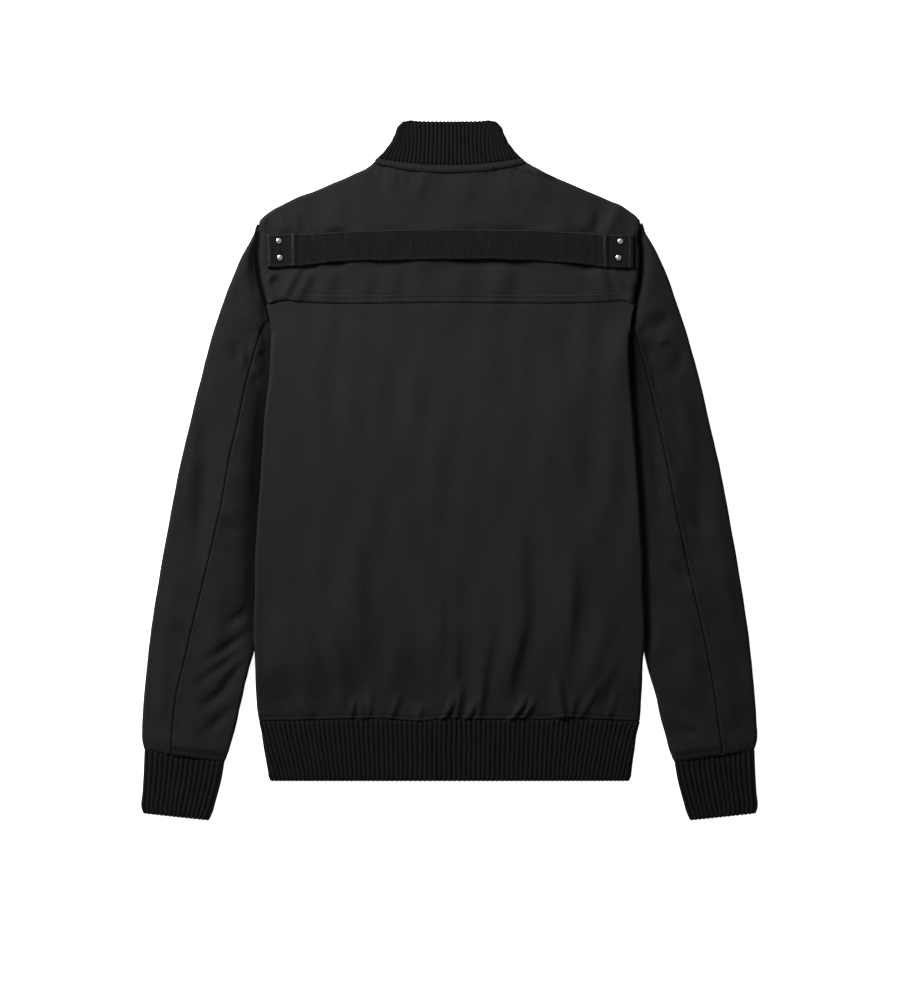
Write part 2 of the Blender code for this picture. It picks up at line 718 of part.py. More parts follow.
def folded_wall(name, side, sign, start, edge, outward, steps):
    """Half a sleeve: it runs from a line over the top, round a folded edge, and back below."""
    width = np.sum((edge - start) * outward, axis=1)
    squeeze = np.minimum(1.0, SQUEEZE * width / OUTER_RADIUS)
    core_end = edge - outward * (OUTER_RADIUS * squeeze)[:, None]
    share = np.linspace(0, 1, steps + 1)[None, :, None]
    upper = start[:, None] * (1 - share) + core_end[:, None] * share
    rolls = fold_rolls()[1:-1]
    turn = np.repeat(core_end[:, None], len(rolls), axis=1)
    plan = np.concatenate([upper, turn, upper[:, ::-1]], axis=1)
    flat = np.zeros(upper.shape[:2])
    angle = np.concatenate([flat, np.broadcast_to(rolls, turn.shape[:2]), flat + HALF_TURN], 1)
    direction = np.broadcast_to(outward[:, None], plan.shape)
    mirror = np.array([float(sign), 1.0])
    plan = plan * mirror
    base = fold_height(side, plan[..., 0], plan[..., 1]) * (1 + np.cos(angle)) / 2
    outer, inner = wall(plan, direction * mirror, angle, base, squeeze=squeeze[:, None])
    return solid_from_walls(name, outer, inner, "cloth")


def sleeve_upper(side, sign):
    """Outer half of a sleeve: from the armhole and back seam round the outer fold."""
    outer, inner = sleeve_sections(side)
    normals = plan_normals(outer, (1, 0))
    name = f"sleeve_{side}_upper"
    return folded_wall(name, side, sign, inner, outer, normals, SLEEVE_UPPER_STEPS)


def sleeve_under(side, sign):
    """Inner half of a sleeve: from the back seam round the inner fold."""
    seam = columns(SLEEVE[side], 2, 3)
    fold = columns(SLEEVE[side], 4, 5)
    normals = plan_normals(fold, (-1, 0))
    across = fold - seam
    across /= np.linalg.norm(across, axis=1, keepdims=True)
    clear = SEAM_GAP / np.sum(across * plan_normals(seam, (-1, -0.1)), axis=1, keepdims=True)
    start = seam + across * np.abs(clear)
    name = f"sleeve_{side}_under"
    return folded_wall(name, side, sign, start, fold, normals, SLEEVE_UNDER_STEPS)


def open_band(name, upper, lower_left, lower_right, finish):
    """Band round the body, open at the front: lower left, fold, upper layer, fold, lower right.

    Each argument is a grid of plan points, a row for each height, and the two lower grids start
    at the fold.
    """
    rows = len(upper)
    rolls = fold_rolls()[1:-1]
    round_fold = np.broadcast_to(rolls, (rows, len(rolls)))
    left_turn = np.repeat(upper[:, :1], len(rolls), axis=1)
    right_turn = np.repeat(upper[:, -1:], len(rolls), axis=1)
    plan = np.concatenate(
        [lower_left[:, ::-1], left_turn, upper, right_turn, lower_right], axis=1
    )
    under = np.full(lower_left.shape[:2], HALF_TURN)
    angle = np.concatenate(
        [under, round_fold[:, ::-1], np.zeros(upper.shape[:2]), round_fold, under], axis=1
    )
    half = lower_left.shape[1] + len(rolls)
    outward = np.zeros(plan.shape)
    outward[:, :half, 0] = -1
    outward[:, -half:, 0] = 1
    outer, inner = wall(plan, outward, angle, np.zeros(angle.shape))
    return solid_from_walls(name, outer, inner, finish)


def hem_rib():
    """Hem band of rib knit, tapered towards its lower edge."""
    heights = column(HEM_RIB, 0)
    left = -(column(HEM_RIB, 1) - OUTER_RADIUS)
    right = column(HEM_RIB, 2) - OUTER_RADIUS
    share = np.linspace(0, 1, HEM_COLUMNS)
    upper_x = left[:, None] * (1 - share) + right[:, None] * share
    under_share = np.linspace(0, 1, HEM_FRONT_COLUMNS)
    left_x = left[:, None] * (1 - under_share) - FRONT_EDGE_X * under_share
    right_x = right[:, None] * (1 - under_share) + FRONT_EDGE_X * under_share
    grids = [
        np.stack([x, np.broadcast_to(heights[:, None], x.shape)], -1)
        for x in (upper_x, left_x, right_x)
    ]
    return open_band("hem_rib", *grids, "rib_knit")


def collar():
    """Stand-up collar of rib knit, folded at its sides, with its front parts lower."""
    share = column(COLLAR_SIDE, 0)
    fold_x = column(COLLAR_SIDE, 1) - OUTER_RADIUS
    fold_y = column(COLLAR_SIDE, 2)
    centre_y = NECK_BACK_Y + COLLAR_HEIGHT_BACK * share
    across = np.linspace(-1, 1, COLLAR_COLUMNS)[None, :]
    upper_x = fold_x[:, None] * across
    upper_y = centre_y[:, None] + (fold_y - centre_y)[:, None] * across**2
    upper = np.stack([upper_x, upper_y], -1)
    angle = np.linspace(0, HALF_TURN / 2, COLLAR_FRONT_COLUMNS)[None, :]
    front_y = NECK_FRONT_Y + COLLAR_HEIGHT_FRONT * share
    under_x = FRONT_EDGE_X + (fold_x[:, None] - FRONT_EDGE_X) * np.cos(angle)
    under_y = front_y[:, None] + (fold_y - front_y)[:, None] * (1 - np.sin(angle))
    left = np.stack([-under_x, under_y], -1)
    right = np.stack([under_x, under_y], -1)
    return open_band("collar", upper, left, right, "rib_knit")


def cuff(side, sign):
    """Closed cuff of rib knit: a flattened tube with a fold at each edge."""
    outer_edge = columns(CUFF, 0, 1)
    inner_edge = columns(CUFF, 2, 3)
    across = outer_edge - inner_edge
    across /= np.linalg.norm(across, axis=1, keepdims=True)
    outer_end = outer_edge - across * OUTER_RADIUS
    inner_end = inner_edge + across * OUTER_RADIUS
    share = np.linspace(0, 1, CUFF_COLUMNS)[None, :, None]
    upper = inner_end[:, None] * (1 - share) + outer_end[:, None] * share
    rolls = fold_rolls()[1:-1]
    outer_turn = np.repeat(outer_end[:, None], len(rolls), axis=1)
    inner_turn = np.repeat(inner_end[:, None], len(rolls), axis=1)
    plan = np.concatenate([upper, outer_turn, upper[:, ::-1], inner_turn], axis=1)
    flat = np.zeros(upper.shape[:2])
    turned = np.broadcast_to(rolls, outer_turn.shape[:2])
    angle = np.concatenate([flat, turned, flat + HALF_TURN, turned[:, ::-1]], axis=1)
    outward = np.broadcast_to(across[:, None], plan.shape).copy()
    outward[:, -len(rolls) :] *= -1
    mirror = np.array([float(sign), 1.0])
    outer, inner = wall(plan * mirror, outward * mirror, angle, np.zeros(angle.shape))
    return solid_from_walls("cuff_" + side, outer, inner, "rib_knit", closed=True)


def neck_band():
    """Strip of cloth that lies on the yoke below the collar."""
    distances = np.linspace(-NECK_SIDE_X, NECK_SIDE_X, NECK_BAND_COLUMNS)
    upper = neckline(distances)
    lower_y = hermite(column(NECK_BAND, 0), column(NECK_BAND, 1), np.abs(distances))
    lower = np.stack([distances, lower_y], -1)
    underside = np.full(len(distances), LAYERS + SEAM_GAP)
    return ribbon("neck_band", upper, lower, underside, NECK_BAND_THICK, "cloth")


def ribbon(name, upper_edge, lower_edge, underside, thick, finish):
    """Flat ribbon between two edge lines, with the given heights of its underside."""
    share = np.linspace(0, 1, RIBBON_ROWS)[:, None, None]
    plan = lower_edge[None] * (1 - share) + upper_edge[None] * share
    low = np.broadcast_to(underside[None, :, None], (*plan.shape[:2], 1))
    inner = np.concatenate([plan, low], axis=-1)
    outer = np.concatenate([plan, low + thick], axis=-1)
    return solid_from_walls(name, outer, inner, finish)


def strap_underside():
    """Height of the strap's underside at its ends."""
    return LAYERS + 2 * SEAM_GAP + STRAP_END_THICK


def back_strap():
    """Webbing across the shoulders, which stands off the yoke between its riveted ends."""
    knots = column(STRAP, 0)
    middle = np.linspace(knots[1], knots[-2], STRAP_COLUMNS)
    x = np.concatenate([[knots[0]], middle, [knots[-1]]])
    upper = np.stack([x, hermite(knots, column(STRAP, 1), x)], -1)
    lower = np.stack([x, hermite(knots, column(STRAP, 2), x)], -1)
    stand_off = np.maximum(hermite(knots, column(STRAP, 3), x), 0.0)
    made = ribbon(
        "back_strap", upper, lower, strap_underside() + stand_off, STRAP_THICK, "webbing"
    )
    for name, hole_x, hole_y in RIVETS:
        combine(made, hole_cutter(name + "_strap_hole", hole_x, hole_y), "DIFFERENCE")
    return made


def strap_end(side, sign):
    """Turned-under end of the strap, between it and the yoke."""
    row = STRAP[0] if side == "left" else STRAP[-1]
    x = np.array([row[0], row[0] - sign * STRAP_END_LENGTH])
    upper = np.stack([x, np.full(2, row[1] - SEAM_GAP)], -1)
    lower = np.stack([x, np.full(2, row[2] + STRAP_END_INSET)], -1)
    underside = np.full(2, LAYERS + SEAM_GAP)
    made = ribbon("strap_end_" + side, upper, lower, underside, STRAP_END_THICK, "webbing")
    for name, hole_x, hole_y in RIVETS:
        if side in name:
            combine(made, hole_cutter(name + "_end_hole", hole_x, hole_y), "DIFFERENCE")
    return made


def turned(name, profile, sides, finish):
    """Solid turned about a vertical axis from a closed profile of radius and height."""
    angle = np.arange(sides) * 2 * HALF_TURN / sides
    points = []
    for radius, height in profile[1:-1]:
        points += [(radius * math.cos(a), radius * math.sin(a), height) for a in angle]
    points.append((0.0, 0.0, profile[0][1]))
    points.append((0.0, 0.0, profile[-1][1]))
    rings = len(profile) - 2
    first = rings * sides
    last = first + 1
    faces = []
    for j in range(sides):
        k = (j + 1) % sides
        faces.append((first, k, j))
        faces.append((last, (rings - 1) * sides + j, (rings - 1) * sides + k))
        for i in range(rings - 1):
            faces.append((i * sides + j, i * sides + k, (i + 1) * sides + k, (i + 1) * sides + j))
    return add_object(name, np.array(points) * MM, faces, finish)


def hole_cutter(name, x, y):
    """Round cutter for a rivet hole, clear of the shank by the seam gap."""
    radius = RIVET_SHANK + SEAM_GAP
    top = 2 * LAYERS
    profile = [(0.0, HOLE_LOW), (radius, HOLE_LOW), (radius, top), (0.0, top)]
    made = turned(name, profile, HOLE_SIDES, "webbing")
    made.location = (x * MM, y * MM, 0.0)
    return made


def rivet(name, x, y):
    """Domed rivet through the strap, its turned-under end and the yoke, with a tail inside."""
    head = strap_underside() + STRAP_THICK + SEAM_GAP
    tail = LAYERS - CLOTH - SEAM_GAP
    profile = [(0.0, tail - RIVET_TAIL_THICK), (RIVET_TAIL, tail - RIVET_TAIL_THICK)]
    profile += [(RIVET_TAIL, tail), (RIVET_SHANK, tail), (RIVET_SHANK, head)]
    profile += [(RIVET_RADIUS, head)]
    for step in range(1, DOME_STEPS):
        angle = step * HALF_TURN / 2 / DOME_STEPS
        profile.append((RIVET_RADIUS * math.cos(angle), head + RIVET_DOME * math.sin(angle)))
    profile.append((0.0, head + RIVET_DOME))
    made = turned(name, profile, RIVET_SIDES, "rivet_metal")
    made.location = (x * MM, y * MM, 0.0)
    return made


def zip_tape(side, sign):
    """Woven tape sewn behind one front edge, stepped up where the slider runs."""
    section = np.array(TAPE_SECTION)
    y = np.linspace(ZIP_BOTTOM_Y, ZIP_TOP_Y, TAPE_ROWS)
    x = np.broadcast_to(sign * section[:, 0], (len(y), len(section)))
    low = np.broadcast_to(section[:, 1], x.shape)
    rows = np.broadcast_to(y[:, None], x.shape)
    inner = np.stack([x, rows, low], -1)
    outer = np.stack([x, rows, low + TAPE_THICK], -1)
    return solid_from_walls("zip_tape_" + side, outer, inner, "zip_tape")


def zip_slider():
    """Slider: two plates with rails round the tapes, a wedge between them, and a bridge."""
    low_y = SLIDER_Y - SLIDER_HALF_LENGTH
    high_y = SLIDER_Y + SLIDER_HALF_LENGTH
    half = SLIDER_HALF_WIDTH
    under, face, rail_top = SLIDER_OUTER
    rail_low, inner_face, top = SLIDER_INNER
    made = box("zip_slider", (-half, low_y, under), (half, high_y, face), "zip_metal")
    pieces = [("inner_plate", (-half, low_y, inner_face), (half, high_y, top))]
    for side, sign in SIDES:
        x = sorted((sign * half, sign * (half - SLIDER_RAIL)))
        pieces.append((side + "_low_rail", (x[0], low_y, under), (x[1], high_y, rail_top)))
        pieces.append((side + "_high_rail", (x[0], low_y, rail_low), (x[1], high_y, top)))
    wedge = WEDGE_HALF_WIDTH
    low = (-wedge, high_y - WEDGE_START, under + OVERLAP)
    high = (wedge, high_y - WEDGE_END, top - OVERLAP)
    pieces.append(("wedge", low, high))
    reach = BRIDGE_HALF_LENGTH
    bar = BRIDGE_HALF_WIDTH
    bar_top = BRIDGE_LOW + BRIDGE_THICK
    pieces.append(
        ("bridge", (-bar, SLIDER_Y - reach, BRIDGE_LOW), (bar, SLIDER_Y + reach, bar_top))
    )
    for y in (SLIDER_Y - reach, SLIDER_Y + reach - BRIDGE_FOOT):
        low = (-bar, y, BRIDGE_LOW + OVERLAP)
        high = (bar, y + BRIDGE_FOOT, face - OVERLAP)
        pieces.append((f"foot_{y:.0f}", low, high))
    for name, low, high in pieces:
        combine(made, box("slider_" + name, low, high, "zip_metal"), "UNION")
    return made


def zip_pull():
    """Pull tab with its origin on the hinge's axis: a bar, two arms and a plate with round end."""
    arm_in = PULL_WINDOW_HALF_WIDTH
    width = PULL_HALF_WIDTH
    thick = PULL_HALF_THICK
    arm_out = arm_in + PULL_ARM
    outline = [(-arm_in, 0.0), (-arm_out, 0.0), (-width, -PULL_WINDOW_LENGTH)]
    end_y = -(PULL_LENGTH - width)
    for step in range(PULL_END_STEPS + 1):
        angle = HALF_TURN + step * HALF_TURN / PULL_END_STEPS
        outline.append((width * math.cos(angle), end_y + width * math.sin(angle)))
    outline += [(width, -PULL_WINDOW_LENGTH), (arm_out, 0.0), (arm_in, 0.0)]
    outline += [(arm_in, -PULL_WINDOW_LENGTH), (-arm_in, -PULL_WINDOW_LENGTH)]
    count = len(outline)
    points = [(x, y, -thick) for x, y in outline] + [(x, y, thick) for x, y in outline]
    faces = [tuple(range(count)), tuple(range(2 * count - 1, count - 1, -1))]
    faces += [(i, (i + 1) % count, (i + 1) % count + count, i + count) for i in range(count)]
    centre = (0.0, SLIDER_Y * MM, PULL_AXIS_Z * MM)
    made = add_object("zip_pull", np.array(points) * MM, faces, "zip_metal", location=centre)
    bar = turned(
        "pull_bar",
        [
            (0.0, -arm_out),
            (PULL_BAR_RADIUS, -arm_out),
            (PULL_BAR_RADIUS, arm_out),
            (0.0, arm_out),
        ],
        PULL_BAR_SIDES,
        "zip_metal",
    )
    bar.location = centre
    bar.rotation_euler = (0.0, HALF_TURN / 2, 0.0)
    combine(made, bar, "UNION")
    made.rotation_euler = (PULL_DROOP, 0.0, 0.0)
    return made


def main():
    for leftover in list(bpy.data.objects):
        bpy.data.objects.remove(leftover, do_unlink=True)
    parent = bpy.data.objects.new(PARENT_NAME, None)
    bpy.context.scene.collection.objects.link(parent)
    back_yoke()
    back_panel()
    neck_band()
    collar()
    hem_rib()
    for side, sign in SIDES:
        front(side, sign)
        sleeve_upper(side, sign)
        sleeve_under(side, sign)
        cuff(side, sign)
        strap_end(side, sign)
        zip_tape(side, sign)
    back_strap()
    for name, x, y in RIVETS:
        rivet(name, x, y)
    zip_slider()
    zip_pull()


main()
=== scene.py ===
"""A bomber jacket laid flat on its front, finished: cloth, rib knit, webbing, metal and the studio.

Frame: +X to the right of the back, +Y towards the collar, +Z up, with the surface that the jacket
lies on at height 0. Shapes are worked out in millimetres and become metres in build_mesh.

Each piece of cloth is a wall of a flattened tube. A point of a wall has a place in plan, an
outward direction in plan and a roll angle: 0 is the upper layer, a half turn is the lower layer,
and the angles between go round a folded edge. Folds and seams move the wall along its normal.
"""

import math

import bmesh
import bpy
import numpy as np
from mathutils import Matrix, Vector


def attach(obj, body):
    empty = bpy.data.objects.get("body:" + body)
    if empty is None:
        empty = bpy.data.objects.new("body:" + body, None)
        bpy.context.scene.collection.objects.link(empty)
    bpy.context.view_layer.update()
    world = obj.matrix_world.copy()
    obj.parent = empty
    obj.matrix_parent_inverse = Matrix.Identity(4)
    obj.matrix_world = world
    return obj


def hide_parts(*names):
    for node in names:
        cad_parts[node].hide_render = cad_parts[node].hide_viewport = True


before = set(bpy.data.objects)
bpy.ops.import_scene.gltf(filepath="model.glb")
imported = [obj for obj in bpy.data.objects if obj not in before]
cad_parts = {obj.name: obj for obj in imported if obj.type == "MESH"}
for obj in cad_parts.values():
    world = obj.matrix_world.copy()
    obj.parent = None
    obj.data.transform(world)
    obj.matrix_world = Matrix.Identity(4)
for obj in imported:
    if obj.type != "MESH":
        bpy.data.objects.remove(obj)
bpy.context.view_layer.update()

bl_info = {
    "name": "Flat Bomber Jacket", "version": (1, 0, 0), "blender": (4, 5, 0),
    "location": "3D View > Sidebar > Jacket",
    "description": "Finishes a bomber jacket laid flat: cloth, rib knit, strap, rivets and zip",
    "category": "Add Mesh"
}

MM = 0.001
WELD = 1e-6
SHARP_ANGLE = math.radians(38)
HALF_TURN = math.pi
TURN = 2 * HALF_TURN
SIDES = (("left", -1), ("right", 1))
JACKET = "jacket"
PULL = "pull"

# Cloth and layers
CLOTH = 2.5  # shell and lining together
ROOM = 3.8  # air between the two layers of a flattened tube
SEAM_GAP = 0.3
OUTER_RADIUS = CLOTH + ROOM / 2
LAYERS = 2 * OUTER_RADIUS
DEEPEST = 0.3 - ROOM  # lowest that a sleeve's folds reach below its flat form
SEAM_TURN = math.radians(88.6)  # how far each layer rolls round a fold before the seam
EDGE_PAD = 3.0
EDGE_STEPS = 7
FOLD_STEPS = 12
ROLL_LENGTH = 12.0  # length along an edge in which it turns from flat to rolled

# Front opening, neck and shoulders
FRONT_EDGE_X = 6.5
NECK_FRONT_Y = 280.0
NECK_BACK_Y = 342.0
NECK_SIDE_X = 83.0
SHOULDER_TIP_X = 213.6
TIP_TILT = 0.16

# Seams across the body
HEM_SEAM_Y = -280.85
YOKE_SEAM_Y = 189.3
UNDERARM_Y = 161.0

# Where the body lies over the sleeves
LIFT = LAYERS + 0.5
LIFT_REACH = 32.0
LIFT_LEAD = 9.0
LIFT_TOP_Y = 188.0
LIFT_START = 60.0
LIFT_START_CENTRE = 190.0
LIFT_END = 60.0
LIFT_END_CENTRE = 110.0
LIFT_SAG = 0.25  # share of the lift that the back loses in its middle

# Body's edge from the shoulder tip down: height, left edge, right edge
BODY_EDGE = (
    (276, 213.8, 214.4), (258, 215.8, 214.6), (240, 217.2, 214.5), (214, 213.5, 212.9),
    (201, 208.6, 210.3), (189.3, 204.8, 207.4), (175, 202, 204.2), (161, 199.9, 202.4),
    (148, 200.2, 201.3), (132, 200.6, 200.6), (101, 202.2, 202.2), (68, 206.3, 205.5),
    (34, 208.9, 208.3), (0, 211.1, 210.6), (-33, 213.4, 212.8), (-67, 215.3, 214.5),
    (-100, 217.5, 216.7), (-134, 217.8, 216.9), (-168, 219.2, 219), (-191, 219.2, 219),
    (-212, 217.8, 216.7), (-246, 216.7, 215.6), (-263, 215.6, 214.5), (-280.85, 213.6, 213.4)
)

# Shoulder outline from the neck out: distance from the centre, left height, right height
SHOULDER = (
    (83, 347.4, 347.8), (90, 341, 342.4), (110, 331.2, 333), (131, 321.8, 323.2), (152, 313, 314),
    (174, 304.9, 305.1), (190, 297.2, 297.3), (200, 291.2, 291.3), (208, 284.8, 285.2),
    (213.8, 277.8, 278.4)
)

# Collar's folded side edge: share of the collar's height, distance from the centre, height
COLLAR_SIDE = (
    (0, 82, 348.9), (0.22, 74, 357.2), (0.46, 66, 367.6), (0.68, 61, 378), (0.88, 57.6, 386.4),
    (1, 52.5, 390.6)
)
COLLAR_HEIGHT_BACK = 47.6
COLLAR_HEIGHT_FRONT = 47.0

# Hem rib: height, left edge, right edge
HEM_RIB = (
    (-281, 213.4, 213.2), (-293, 211.1, 210.4), (-310, 208.3, 207.8), (-326, 205.4, 205.3),
    (-340, 203.3, 204), (-344.6, 202.7, 203.2), (-346.6, 201.2, 201.6)
)

# Cuff: outer edge x and y, inner edge x and y
CUFF = (
    (342.1, -313.5, 251.8, -326.9), (342.8, -336.5, 255.8, -348.5), (344.2, -359, 261.3, -369.5),
    (345.1, -379.8, 267, -387.6), (344, -382.8, 268.6, -390.8)
)

# Top of a sleeve, down to the start of its back seam: outer edge x and y, height on the armhole
SLEEVE_CAP = {
    "left": (
        (215.8, 276.4, 274.4), (223.6, 259.6, 258), (231.8, 240.6, 240), (243.4, 213.2, 214),
        (249, 200.2, 201), (253.4, 187.8, 189.3)
    ),
    "right": (
        (216.2, 277.4, 274.4), (224.6, 259.8, 258), (232.8, 241.6, 240), (245.2, 213.2, 214),
        (249.9, 200.5, 201), (253.8, 188.7, 189.3)
    ),
}

# Sleeve sections: outer edge x and y, back seam x and y, inner edge x and y
SLEEVE = {
    "left": (
        (257.9, 175.2, 202.2, 175, 196.4, 160.6), (265.6, 151.6, 211.6, 153.9, 195.6, 139.3),
        (273.3, 123.6, 220.8, 124.8, 197, 116.9), (281.1, 93.4, 228.5, 94.5, 188.7, 86.7),
        (290.9, 52, 237.4, 53.1, 174.2, 45.2), (301.2, 9.4, 247, 11.6, 168, 2.7),
        (309.6, -33.2, 254.6, -33.2, 170.2, -42.1), (318.2, -79.1, 264.9, -79.1, 179.8, -88),
        (325.9, -122.8, 275.2, -122.8, 194.9, -131.7), (333, -167.6, 286.3, -167.6, 211.7, -176.5),
        (338.5, -212.4, 296.8, -212.4, 223.7, -220.2), (342, -248.2, 305.2, -248.2, 232.1, -253.8),
        (344.2, -279.6, 309.7, -281.8, 239.7, -287.4), (344, -304.2, 311.4, -307.6, 248, -315.4),
        (342.1, -313.2, 311.6, -317.8, 251.8, -326.6)
    ),
    "right": (
        (258.6, 175.2, 203.8, 170.6, 197.6, 158), (266.6, 151.6, 209.2, 150, 194.6, 137.3),
        (274.4, 123.6, 216.6, 124.8, 197, 116.9), (282.2, 93.4, 224.6, 94.5, 188.7, 86.7),
        (291.5, 52, 234.5, 52, 174.2, 45.2), (301.7, 9.4, 243.6, 9.4, 168, 2.7),
        (310, -33.2, 251.8, -33.2, 170.2, -42.1), (318.4, -79.1, 261.7, -79.1, 179.8, -88),
        (325.9, -122.8, 270.8, -122.8, 194.3, -131.7), (333, -167.6, 281.3, -167.6, 211.7, -176.5),
        (338.4, -212.4, 290.6, -212.4, 221.8, -220.2),
        (341.7, -248.2, 296.9, -248.2, 231.3, -253.8), (344, -279.6, 301.2, -281.8, 239.1, -287.4),
        (344.2, -304.2, 304.9, -307.6, 247.6, -315.4), (342.1, -313.2, 305.8, -317.8, 251.8, -326.6)
    ),
}

# Cross seam below the yoke: x, height above its middle
YOKE_SEAM_LINE = (
    (-204.8, -2.9), (-190, 2), (-164, 0.2), (0, -0.2), (150, -0.4), (178, 0.6), (198, 1.3),
    (207.4, -3.4)
)

# Hem seam: x, height above its middle
HEM_SEAM_LINE = (
    (-213, -0.5), (-160, 0.2), (-111, 1.6), (-72, 1.8), (-44, -0.8), (-27, -0.7), (-5, 2.2),
    (23, 1.8), (56, 0.9), (79, 2.6), (107, 0.6), (127, 3.3), (157, 1.5), (213, -0.9)
)

# Folds: start x and y, end x and y, bow to the right, half width to the left and right, height
BACK_FOLDS = (
    (76, -40, 85, -205, 0, 26, 9, 2.6), (92, -130, 58, -272, 0, 17, 7, 3.6),
    (140, -40, 122, -275, 3, 26, 9, 3.4), (182, -150, 134, -282, 4, 15, 8, 2.2),
    (196, -180, 150, -280, 3, 11, 7, 1.6), (-12, -100, -11, -235, 0, 22, 8, 2.3),
    (6, -160, 8, -272, 0, 11, 5, 2.3), (50, -160, 28, -280, 0, 13, 6, 2.6),
    (-107, -20, -105, -262, 3, 28, 11, 2.6), (-196, -120, -146, -276, -2, 13, 10, 2),
    (-172, -140, -130, -276, -2, 10, 8, 1.7), (-154, -110, -104, -270, -3, 13, 9, 2.3),
    (-62, -170, -70, -282, 0, 14, 10, 1.5), (118, 150, 128, -20, 3, 22, 18, 1.2),
    (48, 170, 64, -20, -4, 26, 16, 1.2), (-88, 170, -100, -60, 2, 26, 16, 1.1),
    (-150, 140, -144, -90, 4, 22, 16, 1.1), (-28, 150, -18, -60, 3, 22, 20, 0.9),
    (188, 120, 182, -100, 0, 16, 12, 1)
)
# Gathers that the hem seam holds: as above, and they narrow towards their lower end
HEM_GATHERS = (
    (-103, -248, -110, -284, -2, 4.5, 4, 2.4), (-103, -248, -98, -284, 2, 4, 4, 2.6),
    (-86, -236, -93, -284, 0, 7, 5, 1.8), (-126, -238, -112, -280, 0, 8, 5, 1.5),
    (-172, -244, -152, -280, 0, 7, 5, 1.2), (-52, -240, -67, -282, 0, 6, 4.5, 1.7),
    (-30, -258, -36, -284, 0, 5, 4, 1.4), (7, -244, -10, -282, 3, 4.5, 3.6, 3),
    (15, -228, 6, -284, 1, 6, 4, 2.6), (30, -250, 16, -282, 3, 4.5, 3.6, 3),
    (41, -228, 31, -284, 0, 7, 5, 2), (88, -246, 66, -282, 3, 4.5, 3.6, 3.3),
    (97, -248, 77, -282, 3, 3.6, 3.6, 2.7), (119, -216, 131, -286, -2, 12, 6, 3),
    (144, -240, 135, -284, 0, 6, 4, 1.6), (172, -228, 143, -282, 1, 7, 5, 1.8),
    (192, -234, 177, -280, 0, 6, 5, 1.1)
)
YOKE_FOLDS = (
    (-198, 296, -178, 258, 0, 8, 6, 1.8), (-170, 290, -154, 256, 0, 6, 5, -1.8),
    (-144, 312, -108, 254, 0, 17, 12, 1.5), (168, 300, 164, 256, 0, 5, 6, -2),
    (172, 254, 192, 304, 0, 6, 8, 2), (150, 300, 152, 256, 0, 9, 6, 1.3),
    (-212, 223.5, -190, 215, 3, 3.4, 3, 2.2), (-194, 220, -204, 209, -2, 3.2, 3.2, 2.4),
    (-186, 226, -206, 226, 0, 2.4, 2.4, -2.4), (-160, 240, -192, 184, 0, 6, 5, 2.6),
    (-144, 240, -178, 180, 0, 6.5, 6, 2.3), (-120, 240, -150, 182, 0, 11, 8, 1.5),
    (-84, 240, -96, 186, 0, 11, 8, 1.3), (-58, 242, -62, 188, 0, 13, 9, 1.2),
    (160, 238, 184, 190, 0, 7, 5, 1.9), (176, 236, 200, 196, 0, 5, 5, 2.2),
    (188, 230, 210, 198, 0, 4.5, 4.5, 2), (60, 244, 62, 186, 0, 17, 11, 1.7),
    (108, 240, 116, 190, 0, 12, 9, 1), (138, 240, 142, 186, 0, 13, 9, 1.4),
    (12, 240, 10, 190, 0, 15, 10, 0.8), (-62, 340, -68, 308, 0, 6, 5, 0.9),
    (-30, 338, -36, 300, 0, 8, 6, 1.1), (14, 336, 20, 288, 0, 13, 9, 1.3),
    (56, 344, 76, 294, 0, 10, 8, 1.4), (80, 344, 118, 296, 0, 12, 9, 1.6)
)
